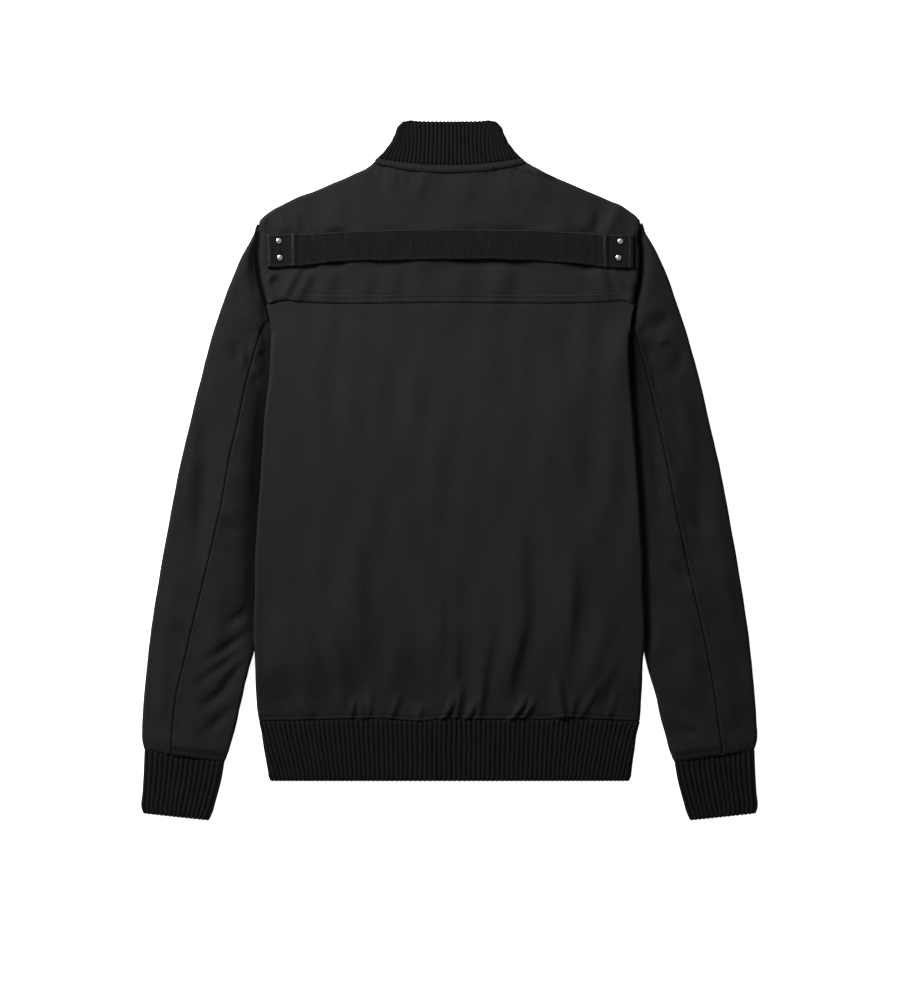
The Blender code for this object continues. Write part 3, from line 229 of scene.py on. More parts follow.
# Seam of the front, which wraps a little over the right shoulder: x, y
WRAP_SEAM = ((72.2, 338.6), (94, 332.6), (112, 327.6), (136, 320.6))
SLEEVE_FOLDS = {
    "left": (
        (-266, 110, -286, -150, 0, 16, 14, -2.4), (-288, 90, -300, -60, 0, 12, 12, 1.7),
        (-272, 60, -284, -120, 0, 7, 9, -1.5), (-228, 90, -242, -70, 0, 14, 12, 1.7),
        (-256, -110, -268, -280, 0, 16, 12, 1.8), (-308, -80, -322, -250, 0, 12, 12, 1.3),
        (-226, 232, -212, 186, 0, 5, 5, -2), (-246, 226, -232, 168, 0, 8, 8, -1.3),
        (-245, 146, -231, 118, 0, 5.5, 5.5, -2.2), (-238, 140, -225, 114, 0, 3, 3, 1.6),
        (-231, 134, -220, 108, 0, 4, 4, -2.3), (-214, 164, -204, 146, 0, 3, 3, -2.2),
        (-216, 132, -198, 124, 0, 3, 3, -2.8), (-214, 120, -198, 112, 0, 3.5, 3, 1.8),
        (-226, 108, -204, 92, 0, 5, 4, -2), (-262, -52, -236, -74, 0, 6, 5, -1.8),
        (-206, -142, -256, -178, 0, 5, 6, -2.6), (-206, -168, -284, -222, 0, 5, 6, -2.9),
        (-212, -186, -294, -248, 0, 5, 6, -2.6), (-222, -206, -262, -250, 0, 4.5, 5, -2.6),
        (-228, -228, -286, -272, 0, 5, 6, -2.6), (-232, -256, -284, -304, 0, 6, 6, -2.2),
        (-332, -190, -316, -300, 0, 10, 9, 1.1)
    ),
    "right": (
        (242, 80, 258, -60, 0, 16, 12, 1.9), (268, 60, 290, -150, 0, 15, 14, -2.2),
        (260, -110, 274, -280, 0, 16, 15, 1.7), (300, 0, 320, -200, 0, 12, 12, 1.7),
        (256, 110, 276, -20, 0, 8, 8, 1.6), (226, 60, 238, -60, 0, 6, 6, -1.5),
        (206, 162, 250, 176, 3, 6, 7, -1.9), (214, 178, 246, 186, 0, 5, 6, 0.9),
        (206, 152, 232, 160, 0, 5, 5, -1.6), (246, 172, 224, 152, 0, 4.5, 4.5, -1.8),
        (250, 176, 238, 158, 0, 5, 6, -1.4), (268, 148, 236, 96, 6, 8, 7, -1.9),
        (216, 148, 230, 118, 0, 5, 5, -1.9), (226, 138, 250, 151, 0, 5, 4, 2),
        (224, 116, 236, 84, 0, 4, 5, -1.8), (238, 44, 262, -6, 0, 7, 5, -2.2),
        (250, -44, 276, -74, 0, 5, 4, -2), (252, -74, 284, -112, 0, 5, 4, -2.1),
        (246, -98, 276, -132, 0, 5, 4, -1.9), (278, -20, 282, -95, 0, 8, 7, -1.4),
        (246, -286, 288, -298, 0, 5, 4, -2), (234, -244, 270, -282, 0, 6, 5, -1.9),
        (300, -220, 322, -300, 0, 10, 9, 1.2)
    ),
}
# Gap along the armhole, sunk in the relief: height, width of its painted shade on the yoke left and
# right, on the sleeve left and right
ARMHOLE_GAP = (
    (165, 0.6, 0.8, 3.2, 6.5), (180, 1, 1.2, 4, 5.2), (202, 1.8, 2.2, 4.2, 4.2),
    (224, 4, 2.2, 2.2, 3.6), (247, 3.8, 2.4, 2.8, 2.8), (258, 3.8, 4.4, 2.2, 1.4),
    (272, 2.6, 2.4, 1.4, 1)
)
# Painted shadow on a sleeve beside the body, where the body's edge shades it: height, strength and
# reach on the left, the same on the right
SIDE_PAINTED_SHADOW = (
    (-230, 0, 6, 0, 6), (-190, 0.45, 10, 0.4, 8), (-100, 0.68, 14, 0.4, 12),
    (-30, 0.74, 15, 0.45, 15), (50, 0.72, 14, 0.5, 23), (110, 0.55, 12, 0.56, 23),
    (150, 0.5, 8, 0.56, 18), (176, 0, 6, 0, 10)
)
# Yoke under the strap: x, how far it stands up to the strap or sinks away from it
STRAP_WAVE = (
    (-192, 0), (-176, -0.6), (-160, -2), (-150, -1.8), (-142, 0.2), (-134, -1.6), (-124, -1.8),
    (-112, 1.2), (-98, 1.5), (-82, 0.2), (-66, -0.8), (-50, 0.2), (-34, 1.4), (-18, 1.2), (-2, 0.9),
    (12, -0.8), (28, -1.8), (44, -1), (60, -2.6), (76, -2.2), (92, 0.2), (104, 1.6), (116, 1.4),
    (128, 0.2), (142, -1.8), (156, -2.6), (168, -0.8), (176, 0), (192, -0.4)
)
FRONT_FOLDS = (
    (120, 100, 96, -60, 0, 18, 18, -1.2), (60, -60, 74, -240, 6, 16, 14, -1.1),
    (150, -120, 128, -268, 0, 12, 10, -1.2), (40, 180, 90, 240, 0, 14, 12, -1),
    (100, -236, 92, -276, 0, 6, 5, -1.3), (40, -240, 36, -278, 0, 6, 5, -1.1),
    (176, -230, 168, -276, 0, 6, 5, -1.2), (180, 150, 160, 60, 0, 12, 12, -1)
)

# Strap: x, upper edge, lower edge, height above its ends
STRAP = (
    (-204.6, 264.3, 227.9, 0), (-174, 264.9, 228.7, 0), (-155, 265.3, 230.8, -0.3),
    (-130, 266.8, 233.4, 0.1), (-106, 268.1, 234.9, 0.4), (-57, 269.7, 235.8, 0.8),
    (0, 270, 236.6, 1), (57, 269.9, 236.2, 0.8), (94, 269.4, 235.2, 0.6), (130, 267.6, 232.8, 0.1),
    (152, 266.4, 231.1, -0.3), (174, 264.5, 227.9, 0), (205.2, 263.2, 227.1, 0)
)
STRAP_THICK = 1.5
STRAP_END_THICK = 1.5
STRAP_END_LENGTH = 31.0
STRAP_BAR_X = 174.6
STRAP_BAR_HALF = 1.7
STRAP_BAR_RISE = 1.0
STRAP_HEM = 4.4
STRAP_HEM_RISE = 0.7

# Neck band: distance from the centre, lower edge
NECK_BAND = ((0, 333.2), (43, 336), (70, 340.6), (86, 344.9))
NECK_BAND_THICK = 1.0

# Rivets: name, x, y
RIVETS = (
    ("rivet_left_upper", -191, 257), ("rivet_left_lower", -189.8, 238.1),
    ("rivet_right_upper", 191.2, 256.6), ("rivet_right_lower", 189.2, 238.1)
)
RIVET_RADIUS = 3.15
RIVET_DOME = 1.6
RIVET_SHANK = 1.2
RIVET_RIM = ((0.25, 0), (0, 0.2), (0.05, 0.45), (0.3, 0.6), (0.4, 0.5))  # inset and height

# Zip: cross-section of one tape, from its sewn edge to its toothed edge: x, underside
TAPE_SECTION = ((14, 2.8), (7.6, 2.8), (5.2, 3.7), (1, 3.7))
TAPE_THICK = 0.8
ZIP_BOTTOM_Y = -343.0
ZIP_TOP_Y = 278.6
TOOTH_PITCH = 2.6
TOOTH_WIDE = 1.5
TOOTH_LONG = 3.0
TOOTH_THICK = 1.7
TOOTH_CENTRE = 0.85
TOOTH_MIDDLE = 4.1
TOOTH_PARTING = 1.5
ZIP_BOX_LENGTH = 9.0
SLIDER_Y = 266.5
SLIDER_HALF_LENGTH = 6.5
SLIDER_HALF_WIDTH = 4.6
SLIDER_RAIL = 0.7
SLIDER_OUTER = (2.3, 3, 3.4)
SLIDER_INNER = (4.8, 5.1, 5.9)
BRIDGE_HALF_WIDTH = 1.0
BRIDGE_HALF_LENGTH = 2.6
BRIDGE_FOOT = 1.1
BRIDGE_LOW = 0.3
BRIDGE_THICK = 0.65
PULL_AXIS_Z = 1.6
PULL_BAR_RADIUS = 0.35
PULL_HALF_THICK = 0.4
PULL_HALF_WIDTH = 3.0
PULL_WINDOW_HALF_WIDTH = 1.4
PULL_WINDOW_LENGTH = 4.4
PULL_LENGTH = 26.0
PULL_DROOP = math.radians(2.3)

# Rib knit
COLLAR_RIBS = 33
COLLAR_SLIDE = -9.0
COLLAR_FRONT_RIBS = 18
COLLAR_CREST = 0.9
COLLAR_FAN = 0.6
HEM_RIBS = 76
HEM_SLIDE = 3.2
CUFF_RIBS = 14
CUFF_FOLD_RIBS = 2
FOLD_RIBS = 2.5  # ribs round one folded edge
RIB_FOLD_STEPS = 20
RIB_SHAPE = 0.7
RIB_WOBBLE = 0.05
RIB_STEPS = 8  # points across one rib
RIB_RISE = 0.6
RIB_GROOVE = 1.3

# Stitches: length, gap, width, height above the cloth
STITCH_LENGTH = 1.5
STITCH_GAP = 1.8
STITCH_WIDTH = 0.55
STITCH_RISE = 0.28
YOKE_STITCHES = (2.6, 7.4)  # distances above the cross seam
HEM_STITCH = 5.2
CUFF_STITCH = 7.8
FRONT_STITCH_X = 11.0
NECK_STITCH = 0.09  # share of the neck band's height
NECK_UPPER_STITCH = 0.93
YOKE_STITCH_REACH = 202.0
HEM_STITCH_REACH = 206.0
FRONT_STITCH_TOP = 262.0
CUFF_UNDER_RISE = 0.3
STRAP_STITCH_INSET = 1.3
STRAP_HEM_SLANT = -0.05

# Picture: the photo's frame, and the point of the jacket's plane in its middle
PICTURE_HIGH = 996
PICTURE_SCALE = 1.12  # millimetres of the jacket for a pixel
PICTURE_CENTRE = (0.6, -30.9)
SENSOR = 36.0

# Floor and key light
FLOOR_Z = -0.0005
FLOOR_HALF = 6.0
KEY_PLACE = (-1.3, 1.45, 1.28)

# How the pieces' grids are laid out
BACK_CROWDING = 0.45
SEAM_BEND = 40.0  # length in which rows bend to the line of a seam
SHOULDER_ROLL = 9.0
FRONT_ROLL = 5.0
CORNER_BEND = 8
NECK_SHARE = 0.05
TIP_CROWDING = 1.5
SQUEEZE = 0.8
CUFF_TURN = 14.0  # length in which a sleeve's fold turns to the direction of its cuff
SLEEVE_STEP = 1.2  # grid spacing of the sleeves, as a multiple of the fine grid
SLEEVE_COLUMNS = 34
SLEEVE_SINK = {"left": (2.4, 2.6), "right": (0.6, 0.8)}  # beside the body, near and far
# Painted shade along each sleeve's back seam.
SEAM_PAINTED_SHADE = {"left": 0.62, "right": 0.4}  # share of the light that a sleeve's seam loses
SLEEVE_SEAM_TOP = 178.0
# Painted shade in the gap along each armhole.
GAP_PAINTED_SHADE = 0.88  # share of the light that a gap along an armhole loses
WAVES = 20  # sines in the sum that makes cloth uneven
RIM_STEPS = 3
TURNED_SIDES = 40
RIBBON_ROWS = 12
STRAP_ROWS = 30
STITCH_SHARES = (0, 0.08, 0.35, 0.65, 0.92, 1)  # rings along a stitch
STITCH_SIDES = 6
TOOTH_SIDES = 8
TOOTH_SIZES = (0, 0.75, 1, 1, 0.75, 0)  # rings from a tooth's lower pole to its upper
TOOTH_LEVELS = (-0.5, -0.5, -0.3, 0.3, 0.5, 0.5)
PULL_SHARES = (0, 0.05, 0.3, 0.6, 0.78, 0.86, 0.97, 1)  # from the window to the outline
PULL_LEVELS = (0.75, 1, 1, 0.72, 0.72, 1, 1, 0.75)


def length_prop(name, description, default, least):
    """Property for a length in metres."""
    return bpy.props.FloatProperty(
        name=name, description=description, default=default, min=least, unit="LENGTH"
    )


def amount_prop(name, description, default, **limits):
    """Property for an amount from 0 up."""
    return bpy.props.FloatProperty(
        name=name, description=description, default=default, min=0.0, **limits
    )


def colour_prop(name, description, default):
    """Property for a colour."""
    return bpy.props.FloatVectorProperty(
        name=name, description=description, default=default, min=0.0, max=1.0, subtype="COLOR"
    )


class JacketSettings(bpy.types.PropertyGroup):
    """Sizes and colours of the jacket that a user may change."""

    fine_grid: length_prop("Fine grid", "Spacing of the points on cloth that shows", 0.0026, 0.001)
    coarse_grid: length_prop(
        "Coarse grid", "Spacing of the points on cloth that the jacket lies on", 0.005, 0.001
    )
    fold_depth: amount_prop(
        "Fold depth", "Multiplies the height of every fold and crease", 1.0, max=2.0,
        subtype="FACTOR"
    )
    cloth_colour: colour_prop("Cloth", "Colour of the shell's cloth", (0.0136, 0.0137, 0.0134))
    rib_colour: colour_prop(
        "Rib knit", "Colour of the collar, hem and cuffs", (0.0064, 0.0065, 0.0064)
    )
    webbing_colour: colour_prop("Webbing", "Colour of the strap", (0.0079, 0.008, 0.0078))
    # Painted highlight: a lighter copy of the stitches' colour, for the rows that catch the light.
    thread_colour: colour_prop("Thread", "Colour of the stitches", (0.042, 0.041, 0.040))
    rivet_colour: colour_prop("Rivets", "Colour of the polished rivets", (0.93, 0.92, 0.90))
    zip_colour: colour_prop("Zip", "Colour of the zip's metal", (0.06, 0.06, 0.065))
    strap_thread_colour: colour_prop(
        "Strap thread", "Colour of the stitches on the strap", (0.05, 0.05, 0.05)
    )
    tape_colour: colour_prop("Zip tape", "Colour of the zip's tapes", (0.008, 0.008, 0.008))


class JacketStudio(bpy.types.PropertyGroup):
    """Floor, light and camera."""

    floor_colour: colour_prop("Floor", "Colour of the floor", (0.86, 0.86, 0.86))
    floor_glow: amount_prop(
        "Floor glow", "Light that the floor gives off, which keeps it pale in the shadows", 0.95
    )
    room_light: amount_prop("Room light", "Strength of the even light from all round", 0.22)
    key_power: amount_prop(
        "Key light", "Power of the soft lamp at the upper left", 128.0, unit="POWER"
    )
    key_size: length_prop("Key size", "Width of the soft lamp", 1.1, 0.01)
    camera_height: length_prop("Camera height", "Height of the camera above the jacket", 5.0, 1.0)


def hermite(knots, values, at):
    """Smooth curve through the values at rising knots, with slopes taken from the neighbours."""
    knots = np.asarray(knots, float)
    values = np.asarray(values, float)
    at = np.clip(at, knots[0], knots[-1])
    slopes = np.gradient(values, knots, axis=0)
    index = np.clip(np.searchsorted(knots, at, side="right") - 1, 0, len(knots) - 2)
    span = knots[index + 1] - knots[index]
    share = (at - knots[index]) / span
    if values.ndim > 1:
        span = span[..., None]
        share = share[..., None]
    return (
        (2 * share**3 - 3 * share**2 + 1) * values[index] + (share**3 - 2 * share**2 + share) * span
        * slopes[index] + (3 * share**2 - 2 * share**3) * values[index + 1] + (share**3 - share**2)
        * span * slopes[index + 1]
    )


def smooth_step(value):
    """0 below 0, 1 above 1, and a smooth rise between."""
    value = np.clip(value, 0.0, 1.0)
    return value * value * (3 - 2 * value)


def ramp(value, start, run):
    """0 up to the start and 1 after the run, smoothly between; a fall where the run is negative."""
    return smooth_step((value - start) / run)


def bell(distance, reach):
    """1 at distance 0, falling off smoothly: e to the minus square of distance over reach."""
    return np.exp(-((distance / reach) ** 2))


def joined(*parts):
    """Coordinates put together as points."""
    return np.stack(parts, axis=-1)


def side_by_side(*grids):
    """Grids side by side, with the same rows."""
    return np.concatenate(grids, axis=1)


def unit(vectors):
    """Vectors made 1 long."""
    return vectors / np.linalg.norm(vectors, axis=-1, keepdims=True)


def column(table, number):
    """One column of a table, as an array."""
    return np.array([row[number] for row in table], float)


def curve(table, number, at):
    """Smooth curve through one column of a table, along its first."""
    return hermite(column(table, 0), column(table, number), at)


def columns(table, first, second):
    """Two columns of a table, as points in plan."""
    return joined(column(table, first), column(table, second))


def by_side(x, y, shape):
    """Values of shape(side, y) on each side of the centre line, for the side that x is on."""
    return np.where(x < 0, shape("left", y), shape("right", y))


def body_edge(side, heights):
    """Distance of the body's edge from the centre line at each height."""
    return curve(BODY_EDGE[::-1], 1 if side == "left" else 2, heights)


def inside_body(x, y):
    """Distance in from the body's edge."""
    return by_side(x, y, body_edge) - np.abs(x)


def yoke_seam(x):
    """Height of the cross seam below the yoke."""
    return YOKE_SEAM_Y + curve(YOKE_SEAM_LINE, 1, x)


def hem_seam(x):
    """Height of the hem seam, which the gathered cloth makes wavy."""
    return HEM_SEAM_Y + curve(HEM_SEAM_LINE, 1, x)


def inner_fold(side, y):
    """Distance of a sleeve's inner fold from the centre line at each height."""
    rising = SLEEVE[side][::-1]
    return np.interp(y, column(rising, 5), column(rising, 4))


def lift(x, y):
    """How far the lower layer of the body is raised where it lies over a sleeve."""
    raised = np.zeros(np.broadcast(x, y).shape)
    for side, sign in SIDES:
        over = smooth_step((sign * x - inner_fold(side, y) + LIFT_LEAD + LIFT_REACH) / LIFT_REACH)
        below_arm = ramp(y, LIFT_TOP_Y, -LIFT_START)
        above_hem = ramp(y, HEM_SEAM_Y, LIFT_END)
        raised += LIFT * over * below_arm * above_hem
    return raised


def span(x, y):
    """How far the back is raised: its sides as the fronts', its middle hung between them."""
    edge = by_side(x, y, body_edge)
    outward = np.clip(np.abs(x) / (edge - LIFT_LEAD), 0.0, 1.0) ** 2
    start = LIFT_START_CENTRE + (LIFT_START - LIFT_START_CENTRE) * outward
    end = LIFT_END_CENTRE + (LIFT_END - LIFT_END_CENTRE) * outward
    rise = ramp(y, LIFT_TOP_Y, -start) * ramp(y, HEM_SEAM_Y, end)
    at_edge = lift(np.where(x < 0, -edge, edge), y)
    full = ramp(y, LIFT_TOP_Y, -LIFT_START) * ramp(y, HEM_SEAM_Y, LIFT_END)
    full = LIFT * full
    share = np.where(full > 0.01, at_edge / np.maximum(full, 0.01), 1.0)
    return LIFT * rise * (1 - LIFT_SAG * (1 - outward)) * (1 + (share - 1) * outward**4)


def folds(table, x, y, pinch=0.0):
    """Height of soft folds, summed: each is a bell across a bowed line, tapered at its ends.

    A pinch is the share of its width that a fold loses along its line. Pinched folds keep their
    height to the end, where a seam holds them.

    The share along a line is a point's projection on its chord. The distance across is measured
    to the right from a parabola over the chord, and the bell has a half width for each side.
    """
    height = np.zeros(np.broadcast(x, y).shape)
    for x1, y1, x2, y2, bow, left, right, rise in table:
        dx, dy = x2 - x1, y2 - y1
        length = math.hypot(dx, dy)
        along = ((x - x1) * dx + (y - y1) * dy) / length**2
        across = math.copysign(1.0, dy) * ((x - x1) * dy - (y - y1) * dx) / length
        across = across - bow * 4 * along * (1 - along)
        width = np.where(across > 0, right, left) * (1 - pinch * np.clip(along, 0.0, 1.0))
        end = 9.0 if pinch else 2.3
        taper = smooth_step(1.9 * along) * smooth_step(end * (1 - along))
        height += rise * bell(across, width) * taper
    return height


def undulation(seed, x, y, shortest, longest):
    """Uneven soft waves: a sum of sines of seeded direction, length and phase, about 1 high."""
    random = np.random.default_rng(seed)
    height = np.zeros(np.broadcast(x, y).shape)
    for _ in range(WAVES):
        heading = random.uniform(0, TURN)
        length = random.uniform(shortest, longest)
        phase = random.uniform(0, TURN)
        across = (x * math.cos(heading) + y * math.sin(heading)) * TURN / length
        height += np.sin(across + phase)
    return height * math.sqrt(2 / WAVES)


def spaced(start, stop, step, crowd=0.0):
    """Numbers from start to stop, about a step apart, crowded towards both ends by a sine."""
    count = max(3, int(round(abs(stop - start) / step)))
    share = np.linspace(0, 1, count + 1)
    share = share - crowd * np.sin(TURN * share) / TURN
    return start + (stop - start) * share


def uneven(x, y, depth):
    """Uneven cloth of the back: long soft waves that run down it, and fine ones."""
    waves = 0.42 * undulation(3, x * 1.5, y * 0.55, 40, 90)
    return depth * (waves + 0.03 * undulation(4, x, y, 7, 16))


def back_relief(x, y, depth):
    """Height of the back above its plain form: folds, uneven cloth, and the pull of its seams."""
    below_yoke = yoke_seam(x) - y
    above_hem = y - hem_seam(x)
    inside_edge = inside_body(x, y)
    height = depth * (1.35 * folds(BACK_FOLDS, x, y) + 1.4 * folds(HEM_GATHERS, x, y, 0.6))
    height += uneven(x, y, depth)
    fine = undulation(5, x, y * 0.5, 5, 12)
    height += depth * 0.16 * fine * bell(above_hem - 6, 12)
    height += depth * 0.08 * fine * bell(below_yoke, 12)
    height -= 0.7 * bell(below_yoke, 2.4)
    height = height - 1.3 * bell(above_hem, 1.6) + 0.5 * bell(above_hem - 14, 8)
    height += 0.5 * bell(above_hem - 2.6, 1.6)
    return height - 0.6 * bell(above_hem - 5.2, 1) + 0.3 * bell(inside_edge, 6)


def yoke_relief(x, y, depth):
    """Height of the yoke above its plain form: folds, stitched seams and its proud armhole edge."""
    above_seam = y - yoke_seam(x)
    inside_armhole = inside_body(x, y)
    height = depth * 1.4 * folds(YOKE_FOLDS, x, y)
    height += uneven(x, y, depth)
    fine = undulation(6, x, y * 0.4, 5, 11)
    height += depth * 0.10 * fine * bell(above_seam - 5, 9)
    height = height + 0.75 * bell(above_seam, 9) - 0.2 * bell(above_seam - 2.6, 0.9)
    height -= 0.2 * bell(above_seam - 7.4, 0.9)
    below_neck = NECK_BACK_Y - 9.5 + 12 * (x / NECK_SIDE_X) ** 2 - y
    gathers = undulation(8, x, 0 * y, 6, 14)
    height += depth * 0.28 * gathers * bell(below_neck, 14)
    from_wrap = y - wrap_seam(x)
    wrap = 0.8 * bell(from_wrap - 2.8, 2.2) - 0.9 * bell(from_wrap, 1.6)
    height += wrap * on_wrap(x)
    upper, lower, _stand_off = strap_edges(x)
    below = smooth_step((y - lower + 14) / 12)
    under = smooth_step((y - lower + 4) / 5) * smooth_step((upper + 5 - y) / 6)
    height *= (1 - 0.85 * under)
    wave = curve(STRAP_WAVE, 1, x)
    height += wave * below * smooth_step((upper + 6 - y) / 8)
    gap = by_side(x, y, yoke_gap)
    height += 1.4 * bell(inside_armhole - gap - 5, 5)
    return height - 2.6 * (1 - smooth_step(inside_armhole / np.maximum(gap + 1.5, 0.1)))


def wrap_seam(x):
    """Height of the front's seam where it wraps over the right shoulder."""
    return curve(WRAP_SEAM, 1, x)


def on_wrap(x):
    """1 along the seam that wraps over the right shoulder, and 0 beyond its ends."""
    return ramp(x, 70, 6) * ramp(x, 140, -12)


def on_back_seam(y):
    """1 along the back seam of a sleeve, and 0 above its start."""
    return ramp(y, SLEEVE_SEAM_TOP, -10)


def painted_gap_shade_mask(distance, gap):
    """Mask of the painted shade in a gap: 1 within a gap of this width, and 0 away from it."""
    return 1 - smooth_step((distance - gap * 0.55) / np.maximum(gap * 0.9, 0.6))


def armhole_gap(side, y, first):
    """Width of the gap at a height of the armhole, sunk and painted dark as shade, on the yoke for
    1 and the sleeve for 3.
    """
    number = first + (0 if side == "left" else 1)
    inside = ramp(y, 160, 8) * ramp(y, 271, -6)
    return curve(ARMHOLE_GAP, number, y) * inside


def yoke_gap(side, y):
    """Width of the gap on the yoke, sunk and painted dark as shade."""
    return armhole_gap(side, y, 1)


def outer_line(side):
    """Outer edge of a sleeve from the shoulder to the cuff."""
    return np.concatenate([columns(SLEEVE_CAP[side], 0, 1), columns(SLEEVE[side], 0, 1)])


def sleeve_relief(side, x, y, depth):
    """Height of a sleeve above its flat form: crowned across, sunk beside the body, with folds."""
    sign = dict(SIDES)[side]
    outer = outer_line(side)[::-1]
    outer_x = hermite(outer[:, 1], outer[:, 0], y)
    edge_x = body_edge(side, y)
    inner_x = inner_fold(side, y)
    from_x = np.maximum(edge_x, inner_x)
    share = np.clip((sign * x - from_x) / np.maximum(outer_x - from_x, 1.0), 0.0, 1.0)
    clear = smooth_step((sign * x - edge_x) / 12)
    clear = np.where(inner_x > edge_x, 1.0, clear)
    crown = 3.2 * np.sin(HALF_TURN * share) ** 0.8 * ramp(y, 276, -60)
    bumps = depth * 1.3 * folds(SLEEVE_FOLDS[side], x, y)
    bumps += depth * 0.4 * undulation(11, x, y * 0.8, 26, 70)
    bumps += depth * 0.03 * undulation(12, x, y, 7, 16)
    bumps *= ramp(outer_x - sign * x, 3, 14)
    height = crown + bumps
    height = height * clear + np.minimum(height, 0.0) * (1 - clear)
    beside = ramp(y, 200, -60) * smooth_step((y + 200) / 60)
    near, far = SLEEVE_SINK[side]
    sink = near * bell(sign * x - edge_x, 10) + far * bell(sign * x - edge_x, 32)
    height -= sink * beside
    above_pit = ramp(y, 140, 30) * ramp(y, 274, -12)
    height -= 4.6 * bell(sign * x - edge_x, 6) * above_pit
    seam = columns(SLEEVE[side], 2, 3)[::-1]
    from_seam = sign * x - hermite(seam[:, 1], seam[:, 0], y)
    groove = 0.9 * bell(from_seam, 0.8) - 0.3 * bell(np.abs(from_seam) - 3, 2.4)
    height -= groove * on_back_seam(y)
    pucker = undulation(14, x * 0.5, y, 9, 22)
    height += depth * 0.16 * pucker * bell(from_seam, 9) * on_back_seam(y)
    return np.maximum(height, DEEPEST)


def wall(plan, outward, roll, proud, base=0.0, thick=CLOTH, squeeze=1.0):
    """Outer and inner surface of a flattened tube at the given plan points and roll angles.

    Each surface is the plan point moved by its radius: outwards by the sine of the roll angle and
    up by the cosine, above the tube's middle height. Proud adds to both radii, and the inner
    radius is less by the cloth's thickness. Squeeze narrows a fold in plan.
    """
    surfaces = []
    for radius in (OUTER_RADIUS + proud, OUTER_RADIUS + proud - thick):
        reach = radius * np.sin(roll) * squeeze
        height = base + OUTER_RADIUS + radius * np.cos(roll)
        flat = plan + outward * reach[..., None]
        surfaces.append(np.concatenate([flat, height[..., None]], axis=-1))
    return surfaces


def layered(roll, upper, lower=0.0):
    """Upper value on the upper layer and lower on the lower one, blended round a fold."""
    share = (1 + np.cos(roll)) / 2
    return upper * share + lower * (1 - share)


def edge_columns(turn):
    """Roll angles and flat offsets of the columns at a panel's edge, for an edge of this turn."""
    share = np.arange(1, EDGE_STEPS + 1) / EDGE_STEPS
    pad = EDGE_PAD * (1 - turn / SEAM_TURN)
    return share * turn[..., None], share * pad[..., None]


def edge_reach(turn):
    """How far in from its edge a panel starts to roll."""
    return OUTER_RADIUS * np.sin(turn) + EDGE_PAD * (1 - turn / SEAM_TURN)


def grid_faces(rows, columns, first=0, closed=False):
    """Four corners of each cell of a grid of points, numbered row by row from the first."""
    index = first + np.arange(rows * columns).reshape(rows, columns)
    if closed:
        index = side_by_side(index, index[:, :1])
    cells = [index[:-1, :-1], index[:-1, 1:], index[1:, 1:], index[1:, :-1]]
    return np.stack(cells, axis=-1).reshape(-1, 4)


def many_faces(count, rows, columns):
    """Faces of a number of like closed grids, one after the other."""
    one = grid_faces(len(rows), len(columns), closed=True)
    first = np.arange(count)[:, None, None] * len(rows) * len(columns)
    return (one[None] + first).reshape(-1, 4)


def rim(outer, inner, beyond, bulge, closed):
    """Rounded edge between two lines: half an ellipse from one to the other at each point.

    Its middle stands beyond the edge by the bulge times half the thickness, and it narrows to
    nothing at the ends of an open line, where two rims meet.
    """
    beyond = beyond / np.maximum(np.linalg.norm(beyond, axis=-1, keepdims=True), 1e-9)
    half = (outer - inner) / 2
    thick = np.linalg.norm(half, axis=-1, keepdims=True)
    taper = np.ones((len(outer), 1))
    if not closed:
        taper[0] = taper[-1] = 0.0
    angle = (np.arange(RIM_STEPS + 2) / (RIM_STEPS + 1) * HALF_TURN)[:, None, None]
    middle = (outer + inner) / 2
    return middle + half * np.cos(angle) + beyond * thick * taper * bulge * np.sin(angle)


def shell(name, outer, inner, finish, shade, bulge, closed=False):
    """Closed shell of cloth between two grids of points, with rounded rims on its open sides.

    Bulge is for the first row, last row, first column and last column. The points carry their
    place in the cloth, as metres across and down it, and the painted shade and light there: a
    factor on the colour.
    """
    rows, wide = outer.shape[:2]
    cloth = cloth_place(outer)
    shade = np.broadcast_to(shade, (rows, wide))
    grids = [(outer, cloth, shade, closed), (inner, cloth, shade, closed)]
    lines = [
        (np.s_[0], outer[0] - outer[1], bulge[0], closed),
        (np.s_[-1], outer[-1] - outer[-2], bulge[1], closed)
    ]
    if not closed:
        lines.append((np.s_[:, 0], outer[:, 0] - outer[:, 1], bulge[2], False))
        lines.append((np.s_[:, -1], outer[:, -1] - outer[:, -2], bulge[3], False))
    for place, beyond, round_by, ring in lines:
        strip = rim(outer[place], inner[place], beyond, round_by, ring)
        grids.append((
            strip, np.broadcast_to(cloth[place], strip.shape),
            np.broadcast_to(shade[place], strip.shape[:2]), ring
        ))
    return mesh_from_grids(name, grids, finish)


def cloth_place(surface):
    """Metres across a surface from its middle column and down it from its first row."""
    across = line_shares(surface)
    middle = surface.shape[1] // 2
    across = across - across[:, middle : middle + 1]
    down = np.broadcast_to(line_length(surface[:, middle])[:, None], across.shape)
    return joined(across, down, np.zeros_like(across)) * MM


def mesh_from_grids(name, grids, finish, sharp=False):
    """Object made of grids of points, each with its place in the cloth, shade and closing."""
    points, places, shades, faces = [], [], [], []
    first = 0
    for grid, place, shade, closed in grids:
        rows, wide = grid.shape[:2]
        points.append(grid.reshape(-1, 3))
        places.append(np.asarray(place).reshape(-1, 3))
        shades.append(np.asarray(shade).reshape(-1))
        faces.append(grid_faces(rows, wide, first, closed))
        first += rows * wide
    return build_mesh(
        name, np.concatenate(points), np.concatenate(faces), finish, np.concatenate(places),
        np.concatenate(shades), sharp
    )


